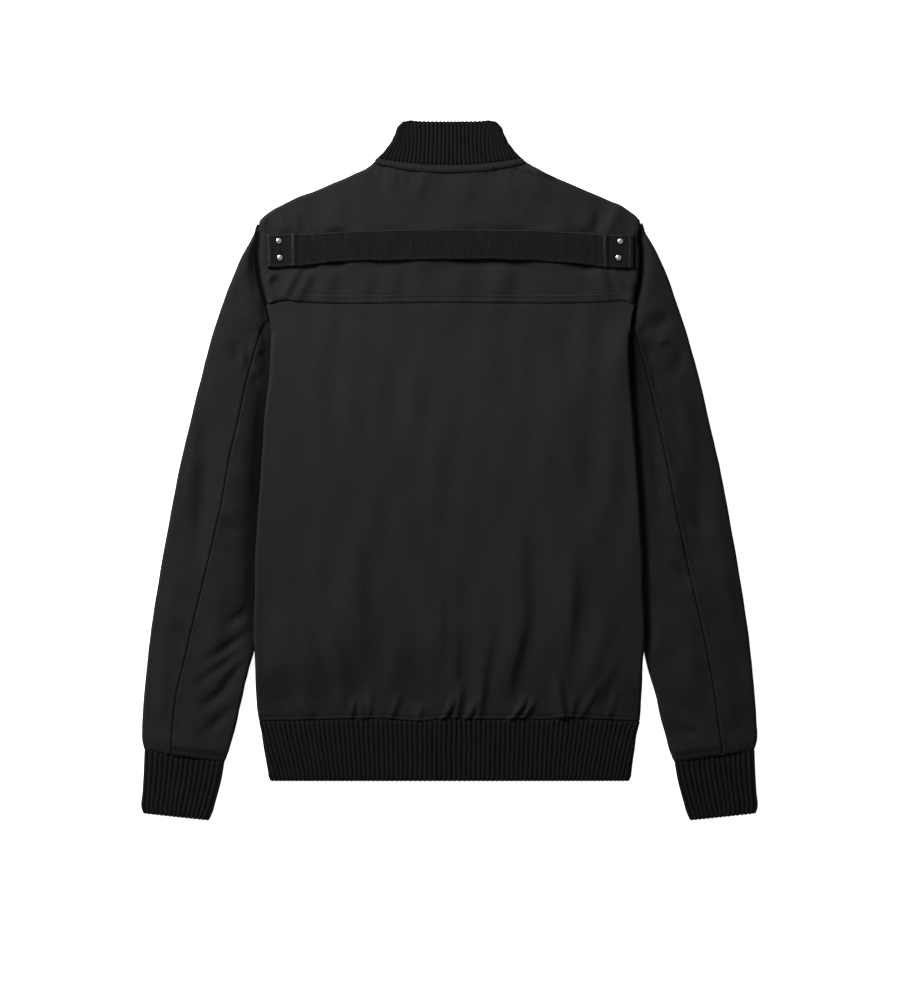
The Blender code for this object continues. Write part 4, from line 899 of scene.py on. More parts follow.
def build_mesh(name, points, faces, finish, places=None, shades=None, sharp=False):
    """Object of the given faces, in metres, welded where its points meet, with its normals out."""
    mesh = bpy.data.meshes.new(name)
    mesh.from_pydata((np.asarray(points) * MM).tolist(), [], np.asarray(faces).tolist())
    if places is None:
        places = np.asarray(points) * MM
    if shades is None:
        shades = np.ones(len(points))
    place = mesh.attributes.new("cloth", "FLOAT_VECTOR", "POINT")
    place.data.foreach_set("vector", np.ascontiguousarray(places, dtype=np.float32).ravel())
    # Painted shade and light: a factor on the colour at each point, darker where shade falls,
    # brighter where light is painted.
    shade = mesh.attributes.new("shade", "FLOAT", "POINT")
    shade.data.foreach_set("value", np.ascontiguousarray(shades, dtype=np.float32))
    shape = bmesh.new()
    shape.from_mesh(mesh)
    bmesh.ops.remove_doubles(shape, verts=shape.verts, dist=WELD)
    bmesh.ops.recalc_face_normals(shape, faces=shape.faces)
    shape.to_mesh(mesh)
    shape.free()
    mesh.shade_smooth()
    if sharp:
        mesh.set_sharp_from_angle(angle=SHARP_ANGLE)
    mesh.materials.append(material(finish))
    made = bpy.data.objects.new(name, mesh)
    bpy.context.scene.collection.objects.link(made)
    return made


def coons(bottom, top, left, right, across=None):
    """Grid between four edge curves: the two ruled surfaces less the bilinear one."""
    rows = len(left)
    wide = len(bottom)
    u = np.reshape(np.linspace(0, 1, wide) if across is None else across, (1, wide, 1))
    v = np.linspace(0, 1, rows)[:, None, None]
    ruled = (1 - v) * bottom[None] + v * top[None] + (1 - u) * left[:, None] + u * right[:, None]
    corners = (
        (1 - u) * (1 - v) * bottom[0] + u * (1 - v) * bottom[-1] + (1 - u) * v * top[0] + u * v
        * top[-1]
    )
    return ruled - corners


def sideways(sign, shape):
    """Outward direction of a left or right edge, for a grid of the given shape."""
    return np.broadcast_to(np.array([float(sign), 0.0]), (*shape, 2))


def declare_cloth(made, node):
    """Rides a piece of cloth on the jacket in place of its node, and hides the node.
    """
    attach(made, JACKET)
    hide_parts(node)


def back_panel(settings):
    """Lower back: level rows between its side edges, rolled over below the armhole.

    Row heights run from the cross seam to the hem seam, and bend to the lines of both. Across a
    row, points are evenly spread between the side edges, then go round each fold.
    """
    step = settings.fine_grid / MM
    top = YOKE_SEAM_Y - SEAM_GAP / 2
    bottom = HEM_SEAM_Y + SEAM_GAP / 2
    heights = spaced(top, bottom, step, BACK_CROWDING)
    turn = SEAM_TURN * ramp(heights, UNDERARM_Y, -ROLL_LENGTH)
    roll, pad = edge_columns(turn)
    ends = {}
    for side, sign in SIDES:
        ends[side] = sign * (body_edge(side, heights) - edge_reach(turn) - SEAM_GAP / 2)
    core = spaced(0, 1, step / (2 * SHOULDER_TIP_X))[None, :]
    core = ends["left"][:, None] * (1 - core) + ends["right"][:, None] * core
    x = side_by_side((ends["left"][:, None] - pad)[:, ::-1], core, ends["right"][:, None] + pad)
    angle = side_by_side(roll[:, ::-1], np.zeros_like(core), roll)
    y = np.broadcast_to(heights[:, None], x.shape)
    near_top = smooth_step(1 - (top - y) / SEAM_BEND)
    near_bottom = smooth_step(1 - (y - bottom) / SEAM_BEND)
    y = y + (yoke_seam(x) - YOKE_SEAM_Y) * near_top + (hem_seam(x) - HEM_SEAM_Y) * near_bottom
    plan = joined(x, y)
    outward = side_by_side(
        sideways(-1, roll.shape), sideways(0, core.shape), sideways(1, roll.shape)
    )
    proud = layered(angle, back_relief(x, y, settings.fold_depth))
    outer, inner = wall(plan, outward, angle, proud, span(x, y))
    # Painted shade in the grooves of the cross seam, the hem seam and the hem's stitch row.
    shade = 1 - 0.36 * bell(yoke_seam(x) - y, 1.1) - 0.4 * bell(y - hem_seam(x), 1.4)
    shade = shade - 0.45 * bell(y - hem_seam(x) - HEM_STITCH, 0.9)
    # Painted shade: darker towards the bottom and the right, as the lamp's light falls off.
    shade = shade - 0.09 * ramp(y, 80, -300) - 0.06 * ramp(x, 60, 160)
    # Painted shade along the left rolled edge, and painted light along the right one.
    inside_edge = inside_body(x, y)
    painted_rim_light = np.where(x < 0, -0.2 * bell(inside_edge, 5), 0.35 * bell(inside_edge, 3))
    shade = shade + painted_rim_light * ramp(y, 110, -50)
    made = shell("back_panel_cloth", outer, inner, "cloth", shade, (0.6, 0.6, 0.6, 0.6))
    declare_cloth(made, "back_panel")


def back_top(x, y, depth):
    """Height of the back's upper surface above the floor."""
    return LAYERS + span(x, y) + back_relief(x, y, depth)


def yoke_top(x, y, depth):
    """Height of the yoke's upper surface above the floor."""
    return LAYERS + yoke_relief(x, y, depth)


def shoulder_line(side, sign, distances):
    """Points of the shoulder outline at the given distances from the centre."""
    heights = curve(SHOULDER, 1 if side == "left" else 2, distances)
    return joined(sign * distances, heights)


def plan_normals(points, towards):
    """Unit directions in plan, square to a line of points, on the side that towards points to."""
    along = np.gradient(points, axis=0)
    normal = unit(joined(-along[:, 1], along[:, 0]))
    facing = np.sign(np.sum(normal * np.array(towards), axis=1, keepdims=True))
    return normal * facing


def neckline(distances):
    """Back neckline at the given signed distances from the centre, just below the collar."""
    fold_x = COLLAR_SIDE[0][1] - OUTER_RADIUS
    rise = COLLAR_SIDE[0][2] - NECK_BACK_Y
    heights = NECK_BACK_Y + rise * np.minimum(1.0, (distances / fold_x) ** 2)
    return joined(distances, heights - SEAM_GAP)


def tip_direction(sign):
    """Direction in which the shoulder's fold ends at the armhole: up, and a little inwards."""
    return np.array([-sign * TIP_TILT, 1.0])


def fit_corner(line, corner, at_end=True):
    """Bends a line near one end so that it meets the corner."""
    share = np.linspace(0, 1, len(line))[:, None]
    if at_end:
        return line + (corner - line[-1]) * share**CORNER_BEND
    return line + (corner - line[0]) * (1 - share) ** CORNER_BEND


def softened(line, passes):
    """Directions along a line, each averaged with its neighbours a few times, as unit vectors."""
    for _ in range(passes):
        line = np.concatenate([line[:1], (line[:-2] + 2 * line[1:-1] + line[2:]) / 4, line[-1:]])
    return unit(line)


def back_yoke(settings):
    """Upper back: a grid blended between the cross seam, the armholes, the shoulders and the neck.

    The blend is the two ruled surfaces between opposite edges, less the one through the corners.
    The shoulders then roll over, and the neck edge stays flat.
    """
    step = settings.fine_grid / MM
    crowded = np.linspace(0.0, 1.0, int((SHOULDER_TIP_X - NECK_SIDE_X) / step) + 8) ** TIP_CROWDING
    far = SHOULDER_TIP_X + (NECK_SIDE_X - SHOULDER_TIP_X) * crowded
    across_neck = spaced(-NECK_SIDE_X, NECK_SIDE_X, step)[1:-1]
    top = np.concatenate([
        shoulder_line("left", -1, far), neckline(across_neck), shoulder_line("right", 1, far[::-1])
    ])
    normals = plan_normals(top, (0, 1))
    normals[0] = tip_direction(-1)
    normals[-1] = tip_direction(1)
    normals = softened(normals, 4)
    turn = SEAM_TURN * ramp(np.abs(top[:, 0]), NECK_SIDE_X, SHOULDER_ROLL)
    core_top = top - normals * edge_reach(turn)[:, None]
    start_y = YOKE_SEAM_Y + SEAM_GAP / 2
    rows = int(round((core_top[0, 1] - start_y) / step)) + 12
    sides = {}
    for side, sign in SIDES:
        end_y = core_top[0 if side == "left" else -1, 1]
        heights = np.linspace(start_y, end_y, rows)
        sides[side] = joined(sign * (body_edge(side, heights) - SEAM_GAP / 2), heights)
    core_top = fit_corner(core_top, sides["left"][-1], at_end=False)
    core_top = fit_corner(core_top, sides["right"][-1])
    share = (core_top[:, 0] - core_top[0, 0]) / (core_top[-1, 0] - core_top[0, 0])
    bottom = sides["left"][0] * (1 - share[:, None]) + sides["right"][0] * share[:, None]
    core = coons(bottom, core_top, sides["left"], sides["right"], share)
    near_seam = smooth_step(1 - (core[..., 1] - start_y) / SEAM_BEND)
    core[..., 1] += (yoke_seam(core[..., 0]) - YOKE_SEAM_Y) * near_seam
    roll, pad = edge_columns(turn)
    edge = core_top[None] + normals[None] * pad.T[..., None]
    plan = np.concatenate([core, edge])
    angle = np.concatenate([np.zeros(core.shape[:2]), roll.T])
    outward = np.broadcast_to(normals[None], plan.shape)
    x, y = plan[..., 0], plan[..., 1]
    proud = layered(angle, yoke_relief(x, y, settings.fold_depth))
    outer, inner = wall(plan, outward, angle, proud)
    # Painted shade in the gap along each armhole.
    inside_armhole = inside_body(x, y)
    gap = by_side(x, y, yoke_gap)
    shade = 1 - GAP_PAINTED_SHADE * painted_gap_shade_mask(inside_armhole, gap) * smooth_step(gap) * (angle < 0.1)
    # Painted light on the wrapped seam's ridge and painted shade in its groove.
    from_wrap = y - wrap_seam(x)
    wrap = 0.3 * bell(from_wrap - 2.6, 1.6) - 0.45 * bell(from_wrap, 1.5)
    shade = shade * (1 + wrap * on_wrap(x))
    # Painted shade along the two stitch rows.
    above_seam = y - yoke_seam(x)
    shade = shade * (1 - 0.26 * bell(above_seam - 2.6, 0.9) - 0.22 * bell(above_seam - 7.4, 0.9))
    made = shell("back_yoke_cloth", outer, inner, "cloth", shade, (0.9, 0.0, 0.9, 0.9))
    declare_cloth(made, "back_yoke")


def front_neckline(sign, share):
    """Front neckline from the side of the neck to the centre front: a quarter of an ellipse."""
    side_x, side_y = COLLAR_SIDE[0][1], COLLAR_SIDE[0][2]
    angle = share * HALF_TURN / 2
    x = FRONT_EDGE_X + (side_x - FRONT_EDGE_X) * np.cos(angle)
    y = NECK_FRONT_Y + (side_y - NECK_FRONT_Y) * (1 - np.sin(angle))
    return joined(sign * x, y)


def front_relief(x, y, depth):
    """Height of a front's lower surface inside its plain form: troughs, seams and a zip edge."""
    above_hem = y - HEM_SEAM_Y
    height = depth * folds(FRONT_FOLDS, np.abs(x), y)
    height -= depth * 0.35 * np.abs(undulation(21, x, y * 0.7, 40, 100))
    fine = undulation(22, x, y * 0.5, 6, 13)
    height -= depth * 0.25 * np.abs(fine) * bell(above_hem - 6, 12)
    height = height - 0.8 * bell(above_hem, 2.6) - 0.5 * bell(np.abs(x) - FRONT_EDGE_X, 1.6)
    return height - 0.3 * bell(np.abs(x) - FRONT_STITCH_X, 1)


def front(side, sign, settings):
    """One front: a grid between the zip, the neckline, the shoulder, the side and the hem seam.

    It is blended from its four edges as the yoke is, and rolls up at the shoulder and the side.
    """
    step = settings.coarse_grid / MM
    neck = front_neckline(sign, np.linspace(1, NECK_SHARE, 18))
    neck -= plan_normals(neck, (-sign * 0.2, 1)) * SEAM_GAP
    shoulder = shoulder_line(side, sign, spaced(NECK_SIDE_X + EDGE_PAD, SHOULDER_TIP_X, step))
    top = np.concatenate([neck, shoulder])
    normals = plan_normals(top, (0, 1))
    normals[-1] = tip_direction(sign)
    normals = softened(normals, 3)
    top_turn = SEAM_TURN * ramp(np.abs(top[:, 0]), NECK_SIDE_X, FRONT_ROLL)
    core_top = top - normals * edge_reach(top_turn)[:, None]

    heights = spaced(HEM_SEAM_Y + SEAM_GAP / 2, core_top[-1, 1], step)
    side_turn = SEAM_TURN * ramp(heights, UNDERARM_Y, -ROLL_LENGTH)
    far = body_edge(side, heights) - edge_reach(side_turn) - SEAM_GAP / 2
    outer_edge = joined(sign * far, heights)
    core_top = fit_corner(core_top, outer_edge[-1])

    zip_share = (heights - heights[0]) / (heights[-1] - heights[0])
    zip_heights = heights[0] + (core_top[0, 1] - heights[0]) * zip_share
    zip_edge = joined(np.full(len(heights), sign * FRONT_EDGE_X), zip_heights)
    zip_edge[-1] = core_top[0]
    share = np.linspace(0, 1, len(core_top))[:, None]
    bottom = zip_edge[0] * (1 - share) + outer_edge[0] * share
    core = coons(bottom, core_top, zip_edge, outer_edge)

    side_roll, side_pad = edge_columns(side_turn)
    across = sideways(sign, (len(heights), EDGE_STEPS))
    side_plan = outer_edge[:, None] + across * side_pad[..., None]
    plan = side_by_side(core, side_plan)
    angle = side_by_side(np.zeros(core.shape[:2]), side_roll)
    outward = side_by_side(np.zeros(core.shape), across)

    end = plan[-1]
    top_turn = np.concatenate([top_turn, np.full(EDGE_STEPS, top_turn[-1])])
    normals = np.concatenate([normals, np.repeat(normals[-1:], EDGE_STEPS, axis=0)])
    top_roll, top_pad = edge_columns(top_turn)
    edge = end[None] + normals[None] * top_pad.T[..., None]
    plan = np.concatenate([plan, edge])
    angle = np.concatenate([angle, top_roll.T])
    outward = np.concatenate([outward, np.broadcast_to(normals[None], edge.shape)])

    x, y = plan[..., 0], plan[..., 1]
    roll = HALF_TURN - angle
    proud = layered(roll, 0.0, np.minimum(front_relief(x, y, settings.fold_depth), 0.0))
    outer, inner = wall(plan, outward, roll, proud, lift(x, y))
    made = shell(f"front_{side}_cloth", outer, inner, "cloth", 1.0, (0.6, 0.0, 0.8, 0.0))
    declare_cloth(made, "front_" + side)


def sleeve_sections(side, step):
    """Outer edge and inner limit of each section, from the shoulder to the cuff, closely spaced.

    Both lines are smooth curves through the tables' points, by the outer edge's length.
    """
    armhole_y = column(SLEEVE_CAP[side], 2)
    armhole_x = body_edge(side, armhole_y) + SEAM_GAP / 2
    outer = outer_line(side)
    inner = np.concatenate([joined(armhole_x, armhole_y), columns(SLEEVE[side], 2, 3)])
    length = line_length(outer)
    at = spaced(0, length[-1], step)
    outer, inner = hermite(length, outer, at), hermite(length, inner, at)
    on_armhole = inner[:, 1] > SLEEVE[side][0][3]
    inner[on_armhole, 0] = body_edge(side, inner[on_armhole, 1]) + SEAM_GAP / 2
    return outer, inner


def line_length(points):
    """Length along a line of points up to each of them."""
    steps = np.linalg.norm(np.diff(points, axis=0), axis=1)
    return np.concatenate([[0.0], np.cumsum(steps)])


def cuff_seam_relief(x, y, from_cuff):
    """Height that the cuff's seam adds to a sleeve: a groove, gathers and a sunk stitch row."""
    height = 0.5 * bell(from_cuff - 13, 7) - 0.9 * bell(from_cuff, 2.6)
    height -= 0.3 * bell(from_cuff - CUFF_STITCH, 1)
    return height + 0.14 * undulation(16, x, y, 5, 11) * bell(from_cuff - 4, 10)


def folded_wall(name, side, start, edge, outward, steps, settings):
    """Half a sleeve: it runs from a line over the top, round a folded edge, and back below.

    The top is ruled between the line and the fold. A narrow end has its fold squeezed in plan.
    """
    sign = dict(SIDES)[side]
    from_cuff = line_length(edge)[-1] - line_length(edge)
    across = unit(edge - start)
    at_cuff = smooth_step(1 - from_cuff / CUFF_TURN)[:, None]
    outward = unit(outward * (1 - at_cuff) + across * at_cuff)
    width = np.sum((edge - start) * outward, axis=1)
    squeeze = np.clip(SQUEEZE * width / OUTER_RADIUS, 0.0, 1.0)
    core_end = edge - outward * (OUTER_RADIUS * squeeze)[:, None]
    share = np.linspace(0, 1, steps + 1)[None, :, None] ** 1.5
    upper = start[:, None] * (1 - share) + core_end[:, None] * share
    share = np.linspace(1, 0, steps // 2 + 1)[None, :, None]
    under = start[:, None] * (1 - share) + core_end[:, None] * share
    rolls = np.linspace(0, HALF_TURN, FOLD_STEPS + 1)[1:-1]
    turn = np.repeat(core_end[:, None], len(rolls), axis=1)
    mirror = np.array([float(sign), 1.0])
    plan = side_by_side(upper, turn, under) * mirror
    angle = side_by_side(
        np.zeros(upper.shape[:2]), np.broadcast_to(rolls, turn.shape[:2]),
        np.full(under.shape[:2], HALF_TURN)
    )
    direction = np.broadcast_to(outward[:, None], plan.shape) * mirror
    x, y = plan[..., 0], plan[..., 1]
    from_cuff = from_cuff[:, None]
    relief = sleeve_relief(side, x, y, settings.fold_depth) + cuff_seam_relief(x, y, from_cuff)
    under_relief = -0.5 * np.abs(undulation(17, x, y * 0.8, 26, 70)) - 0.2 * bell(from_cuff, 3)
    proud = layered(angle, np.maximum(relief, DEEPEST), under_relief)
    outer, inner = wall(plan, direction, angle, proud, squeeze=squeeze[:, None])
    # Painted shade along the back seam.
    shade = 1 - SEAM_PAINTED_SHADE[side] * bell(line_shares(outer), 0.5) * on_back_seam(y)
    # Painted shade in the gap at the armhole, and painted shadow beside the body, where its edge
    # shades the sleeve.
    from_body = sign * x - body_edge(side, y)
    gap = armhole_gap(side, y, 3)
    dark = painted_gap_shade_mask(from_body, gap) * smooth_step(gap)
    first = 1 if side == "left" else 3
    strength = curve(SIDE_PAINTED_SHADOW, first, y)
    reach = curve(SIDE_PAINTED_SHADOW, first + 1, y)
    shade = shade * (1 - GAP_PAINTED_SHADE * dark) * (1 - strength * bell(from_body, reach))
    # Painted shade along the cuff's stitch row.
    shade = shade * (1 - 0.55 * bell(from_cuff - CUFF_STITCH, 0.9) * (angle < 0.1))
    # Painted light beside the body on the right sleeve, which lightens the cast shadow there.
    if side == "right":
        below_arm = ramp(y, 120, -40)
        shade = shade * (1 + 0.9 * bell(from_body - 3, 7) * below_arm)
    # Painted shade: the sleeves darker than their colour, and more so towards the right, as the
    # lamp's light falls off.
    shade = shade * (0.86 - 0.05 * smooth_step((x + 200) / 400))
    made = shell(name + "_cloth", outer, inner, "cloth", shade, (0.0, 0.6, 0.7, 0.0))
    declare_cloth(made, name)


def line_shares(surface):
    """Distance of each point of a surface from its first column, along its row."""
    steps = np.linalg.norm(np.diff(surface, axis=1), axis=2)
    return side_by_side(np.zeros((len(surface), 1)), np.cumsum(steps, axis=1))


def sleeve_upper(side, settings):
    """Outer half of a sleeve: from the armhole and back seam round the outer fold."""
    outer, inner = sleeve_sections(side, settings.fine_grid / MM * SLEEVE_STEP)
    normals = softened(plan_normals(outer, (1, 0)), 3)
    folded_wall(f"sleeve_{side}_upper", side, inner, outer, normals, SLEEVE_COLUMNS, settings)


def sleeve_under(side, settings):
    """Inner half of a sleeve: from the back seam round the inner fold."""
    table = SLEEVE[side]
    length = line_length(columns(table, 0, 1))
    at = spaced(0, length[-1], settings.fine_grid / MM * SLEEVE_STEP)
    seam = hermite(length, columns(table, 2, 3), at)
    fold = hermite(length, columns(table, 4, 5), at)
    normals = softened(plan_normals(fold, (-1, 0)), 3)
    across = unit(fold - seam)
    square = np.sum(across * plan_normals(seam, (-1, -0.1)), axis=1, keepdims=True)
    start = seam + across * np.abs(SEAM_GAP / square)
    folded_wall(f"sleeve_{side}_under", side, start, fold, normals, SLEEVE_COLUMNS, settings)


def ridges(phase):
    """Height of ribs from 0 in a groove to 1 on a rib: a flattened half sine for each rib."""
    return np.abs(np.sin(HALF_TURN * phase)) ** RIB_SHAPE


def rib_shade(phase):
    """Painted light and shade of the knit: brighter than its colour along each rib, and painted
    nearly black in the grooves, where shade falls.
    """
    return 1.36 - 1.5 * (1 - ridges(phase)) ** 1.6


def ribbed(angle, phase):
    """How far rib knit stands out: ribs above and grooves below the plain form.

    On the lower layer the ribs only reach the plain form, because it lies on the floor.
    """
    groove = RIB_GROOVE * (1 - ridges(phase))
    return layered(angle, RIB_RISE - groove, -groove)


def open_band(name, upper, lower_left, lower_right, phase, rests_on, node, slide=0.0):
    """Band of rib knit round the body, open at the front: lower left, upper, then lower right.

    The grids hold plan points, a row for each height, and the two lower grids start at the fold.
    Slide is how many ribs move round each fold from the first row to the last.
    """
    rows = len(upper)
    rolls = np.linspace(0, HALF_TURN, RIB_FOLD_STEPS)[1:-1]
    round_fold = np.broadcast_to(rolls, (rows, len(rolls)))
    left_turn = np.repeat(upper[:, :1], len(rolls), axis=1)
    right_turn = np.repeat(upper[:, -1:], len(rolls), axis=1)
    plan = side_by_side(lower_left[:, ::-1], left_turn, upper, right_turn, lower_right)
    under = np.full(lower_left.shape[:2], HALF_TURN)
    angle = side_by_side(under, round_fold[:, ::-1], np.zeros(upper.shape[:2]), round_fold, under)
    half = lower_left.shape[1] + len(rolls)
    outward = np.zeros(plan.shape)
    outward[:, :half, 0] = -1
    outward[:, -half:, 0] = 1
    middle = (phase[0] + phase[-1]) / 2
    aside = (phase - middle) / (phase[-1] - middle)
    down = np.linspace(0, 1, rows)[:, None] ** 1.2
    phase = phase + slide * down * np.clip(3 * aside, -1, 1) * np.abs(aside)
    phase = phase + RIB_WOBBLE * undulation(61, plan[..., 0], plan[..., 1] * 0.5, 14, 50)
    proud = ribbed(angle, phase)
    outer, inner = wall(plan, outward, angle, proud, thick=CLOTH + proud)
    outer[-1, :, 1] += np.sign(upper[-1, 0, 1] - upper[0, 0, 1]) * 0.5 * ridges(phase[-1])
    made = shell(name, outer, inner, "rib_knit", rib_shade(phase), (0.3, 1.0, 0.3, 0.3))
    declare_cloth(made, node)


def rib_columns(ribs_under, ribs_upper):
    """Rib phase at each column of an open band, with whole steps to a rib on its flat parts."""
    under = np.linspace(0, ribs_under, int(ribs_under * RIB_STEPS) + 1)
    left_fold = np.linspace(ribs_under, ribs_under + FOLD_RIBS, RIB_FOLD_STEPS)[1:-1]
    upper_start = ribs_under + FOLD_RIBS
    upper = np.linspace(upper_start, upper_start + ribs_upper, int(ribs_upper * RIB_STEPS) + 1)
    right_fold = np.linspace(upper[-1], upper[-1] + FOLD_RIBS, RIB_FOLD_STEPS)[1:-1]
    right_under = upper[-1] + FOLD_RIBS + under
    return np.concatenate([under, left_fold, upper, right_fold, right_under])


def hem_rib():
    """Hem band of rib knit, tapered towards its lower edge, where the side ribs lean most.

    A row's points are its share of the top row's, drawn in by the cube of the share.
    """
    top = HEM_RIB[0]
    heights = spaced(top[0], HEM_RIB[-1][0], 4.5)
    table = HEM_RIB[::-1]
    left = curve(table, 1, heights) - OUTER_RADIUS
    right = curve(table, 2, heights) - OUTER_RADIUS
    share = np.linspace(-1, 1, HEM_RIBS * RIB_STEPS + 1)[None, :]
    half = np.where(share < 0, left[0], right[0])
    narrowed = np.where(share < 0, left[:, None], right[:, None]) - half
    upper_x = half * share + narrowed * np.sign(share) * np.abs(share) ** 3
    under_share = np.linspace(0, 1, HEM_RIBS // 2 * RIB_STEPS + 1)
    left_x = -left[:, None] * (1 - under_share) - FRONT_EDGE_X * under_share
    right_x = right[:, None] * (1 - under_share) + FRONT_EDGE_X * under_share
    below = (heights - heights[0]) / (heights[-1] - heights[0])
    grids = []
    for x in (upper_x, left_x, right_x):
        y = np.broadcast_to(heights[:, None], x.shape)
        if x is upper_x:
            y = y + (hem_seam(x) - HEM_SEAM_Y) * smooth_step(1 - 3 * below)[:, None]
        grids.append(joined(x, y))
    phase = rib_columns(HEM_RIBS // 2, HEM_RIBS)
    open_band("hem_rib_knit", *grids, phase, [], "hem_rib", HEM_SLIDE)


def collar():
    """Stand-up collar of rib knit, folded at its sides, with its front parts lower.

    Across the back, a row's height goes from the centre's to the fold's by the square of the
    distance. Each front part is a quarter of an ellipse.
    """
    share = spaced(0, 1, 0.085)
    fold_x = curve(COLLAR_SIDE, 1, share) - OUTER_RADIUS
    fold_y = curve(COLLAR_SIDE, 2, share)
    centre_y = NECK_BACK_Y + COLLAR_HEIGHT_BACK * share
    across = np.linspace(-1, 1, COLLAR_RIBS * RIB_STEPS + 1)[None, :]
    fan = fold_x + COLLAR_FAN * (fold_x[0] - fold_x)
    upper_x = fan[:, None] * across + (fold_x - fan)[:, None] * across**3
    upper_y = centre_y[:, None] + (fold_y - centre_y)[:, None] * across**2
    out = np.abs(across)
    crest = COLLAR_CREST * (bell(out - 0.82, 0.16) - 0.5 * bell(out - 1, 0.07))
    upper_y = upper_y + crest * share[:, None] ** 2
    upper = joined(upper_x, upper_y)
    angle = np.linspace(0, HALF_TURN / 2, COLLAR_FRONT_RIBS * RIB_STEPS + 1)[None, :]
    front_y = NECK_FRONT_Y + COLLAR_HEIGHT_FRONT * share
    under_x = FRONT_EDGE_X + (fold_x[:, None] - FRONT_EDGE_X) * np.cos(angle)
    under_y = front_y[:, None] + (fold_y - front_y)[:, None] * (1 - np.sin(angle))
    left = joined(-under_x, under_y)
    right = joined(under_x, under_y)
    phase = rib_columns(COLLAR_FRONT_RIBS, COLLAR_RIBS)
    open_band("collar_knit", upper, left, right, phase, ["neck_band_cloth"], "collar", COLLAR_SLIDE)


def cuff(side, sign):
    """Closed cuff of rib knit: a flattened tube with a fold at each edge."""
    length = line_length(columns(CUFF, 0, 1))
    at = spaced(0, length[-1], 4.2)
    outer_edge = hermite(length, columns(CUFF, 0, 1), at)
    inner_edge = hermite(length, columns(CUFF, 2, 3), at)
    across = unit(outer_edge - inner_edge)
    outer_end = outer_edge - across * OUTER_RADIUS
    inner_end = inner_edge + across * OUTER_RADIUS
    share = np.linspace(0, 1, CUFF_RIBS * RIB_STEPS + 1)[None, :, None]
    upper = inner_end[:, None] * (1 - share) + outer_end[:, None] * share
    rolls = np.linspace(0, HALF_TURN, RIB_FOLD_STEPS)[1:-1]
    outer_turn = np.repeat(outer_end[:, None], len(rolls), axis=1)
    inner_turn = np.repeat(inner_end[:, None], len(rolls), axis=1)
    plan = side_by_side(upper, outer_turn, upper[:, ::-1], inner_turn)
    flat = np.zeros(upper.shape[:2])
    turned = np.broadcast_to(rolls, outer_turn.shape[:2])
    angle = side_by_side(flat, turned, flat + HALF_TURN, HALF_TURN - turned)
    outward = np.broadcast_to(across[:, None], plan.shape).copy()
    outward[:, -len(rolls) :] *= -1
    mirror = np.array([float(sign), 1.0])
    flat_phase = np.linspace(0, CUFF_RIBS, CUFF_RIBS * RIB_STEPS + 1)
    fold_phase = np.linspace(0, CUFF_FOLD_RIBS, RIB_FOLD_STEPS)[1:-1]
    phase = np.concatenate([flat_phase, fold_phase, flat_phase, fold_phase])
    phase = phase + RIB_WOBBLE * undulation(62, plan[..., 0], plan[..., 1] * 0.5, 14, 50)
    proud = ribbed(angle, phase)
    outer, inner = wall(plan * mirror, outward * mirror, angle, proud, thick=CLOTH + proud)
    outer[-1] += unit(outer[-1] - outer[-2]) * 0.5 * ridges(phase[-1])[:, None]
    shade = rib_shade(phase)
    bulge = (0.3, 1.0, 0.0, 0.0)
    made = shell(f"cuff_{side}_knit", outer, inner, "rib_knit", shade, bulge, closed=True)
    declare_cloth(made, "cuff_" + side)


def ribbon(name, upper_edge, lower_edge, underside, thick, finish, crown, shade=1.0):
    """Flat ribbon between two edge lines: its upper side is crowned by the given heights."""
    share = np.linspace(0, 1, len(crown))[:, None, None]
    plan = lower_edge[None] * (1 - share) + upper_edge[None] * share
    low = np.broadcast_to(underside[..., None], (*plan.shape[:2], 1))
    inner = np.concatenate([plan, low], axis=-1)
    outer = np.concatenate([plan, low + thick + crown[..., None]], axis=-1)
    return shell(name, outer, inner, finish, shade, (0.7, 0.7, 0.7, 0.7)), inner


def neck_band_lower(x):
    """Height of the neck band's lower edge."""
    line = curve(NECK_BAND, 1, np.abs(x))
    return line + 0.12 * undulation(31, x, 0 * x, 5, 13)


def neck_band_crown(x, share):
    """Height of the neck band above its flat form: padded, with a sunk row of stitches."""
    crown = 1.1 * np.sin(HALF_TURN * share) ** 0.7
    pucker = undulation(32, x, 2 * share, 4, 9)
    return crown + 0.14 * pucker * np.sin(HALF_TURN * share) - 0.3 * bell(share - NECK_STITCH, 0.08)


def neck_band():
    """Strip of cloth that lies on the yoke below the collar, padded and stitched down."""
    x = spaced(-NECK_SIDE_X, NECK_SIDE_X, 1.4)
    upper = neckline(x)
    lower = joined(x, neck_band_lower(x))
    share = np.linspace(0, 1, RIBBON_ROWS + 1)[:, None]
    underside = np.full((len(share), len(x)), LAYERS + SEAM_GAP)
    crown = neck_band_crown(x[None], share) * ramp(np.abs(x), NECK_SIDE_X, -10)[None]
    # Painted shade along the band's lower edge and its upper edge under the collar.
    shade = 1 - 0.3 * bell(share, 0.08) - 0.4 * bell(1 - share, 0.08)
    made, inner = ribbon(
        "neck_band_cloth", upper, lower, underside, NECK_BAND_THICK, "cloth", crown, shade
    )
    declare_cloth(made, "neck_band")


def strap_underside():
    """Height of the strap's underside at its ends."""
    return LAYERS + 2 * SEAM_GAP + STRAP_END_THICK


def strap_edges(x):
    """Upper edge, lower edge and stand-off of the strap at the given places across the back."""
    upper = curve(STRAP, 1, x) + 0.18 * undulation(41, x, 0 * x, 18, 50)
    lower = curve(STRAP, 2, x) + 0.25 * undulation(42, x, 0 * x, 16, 45)
    return upper, lower, curve(STRAP, 3, x)


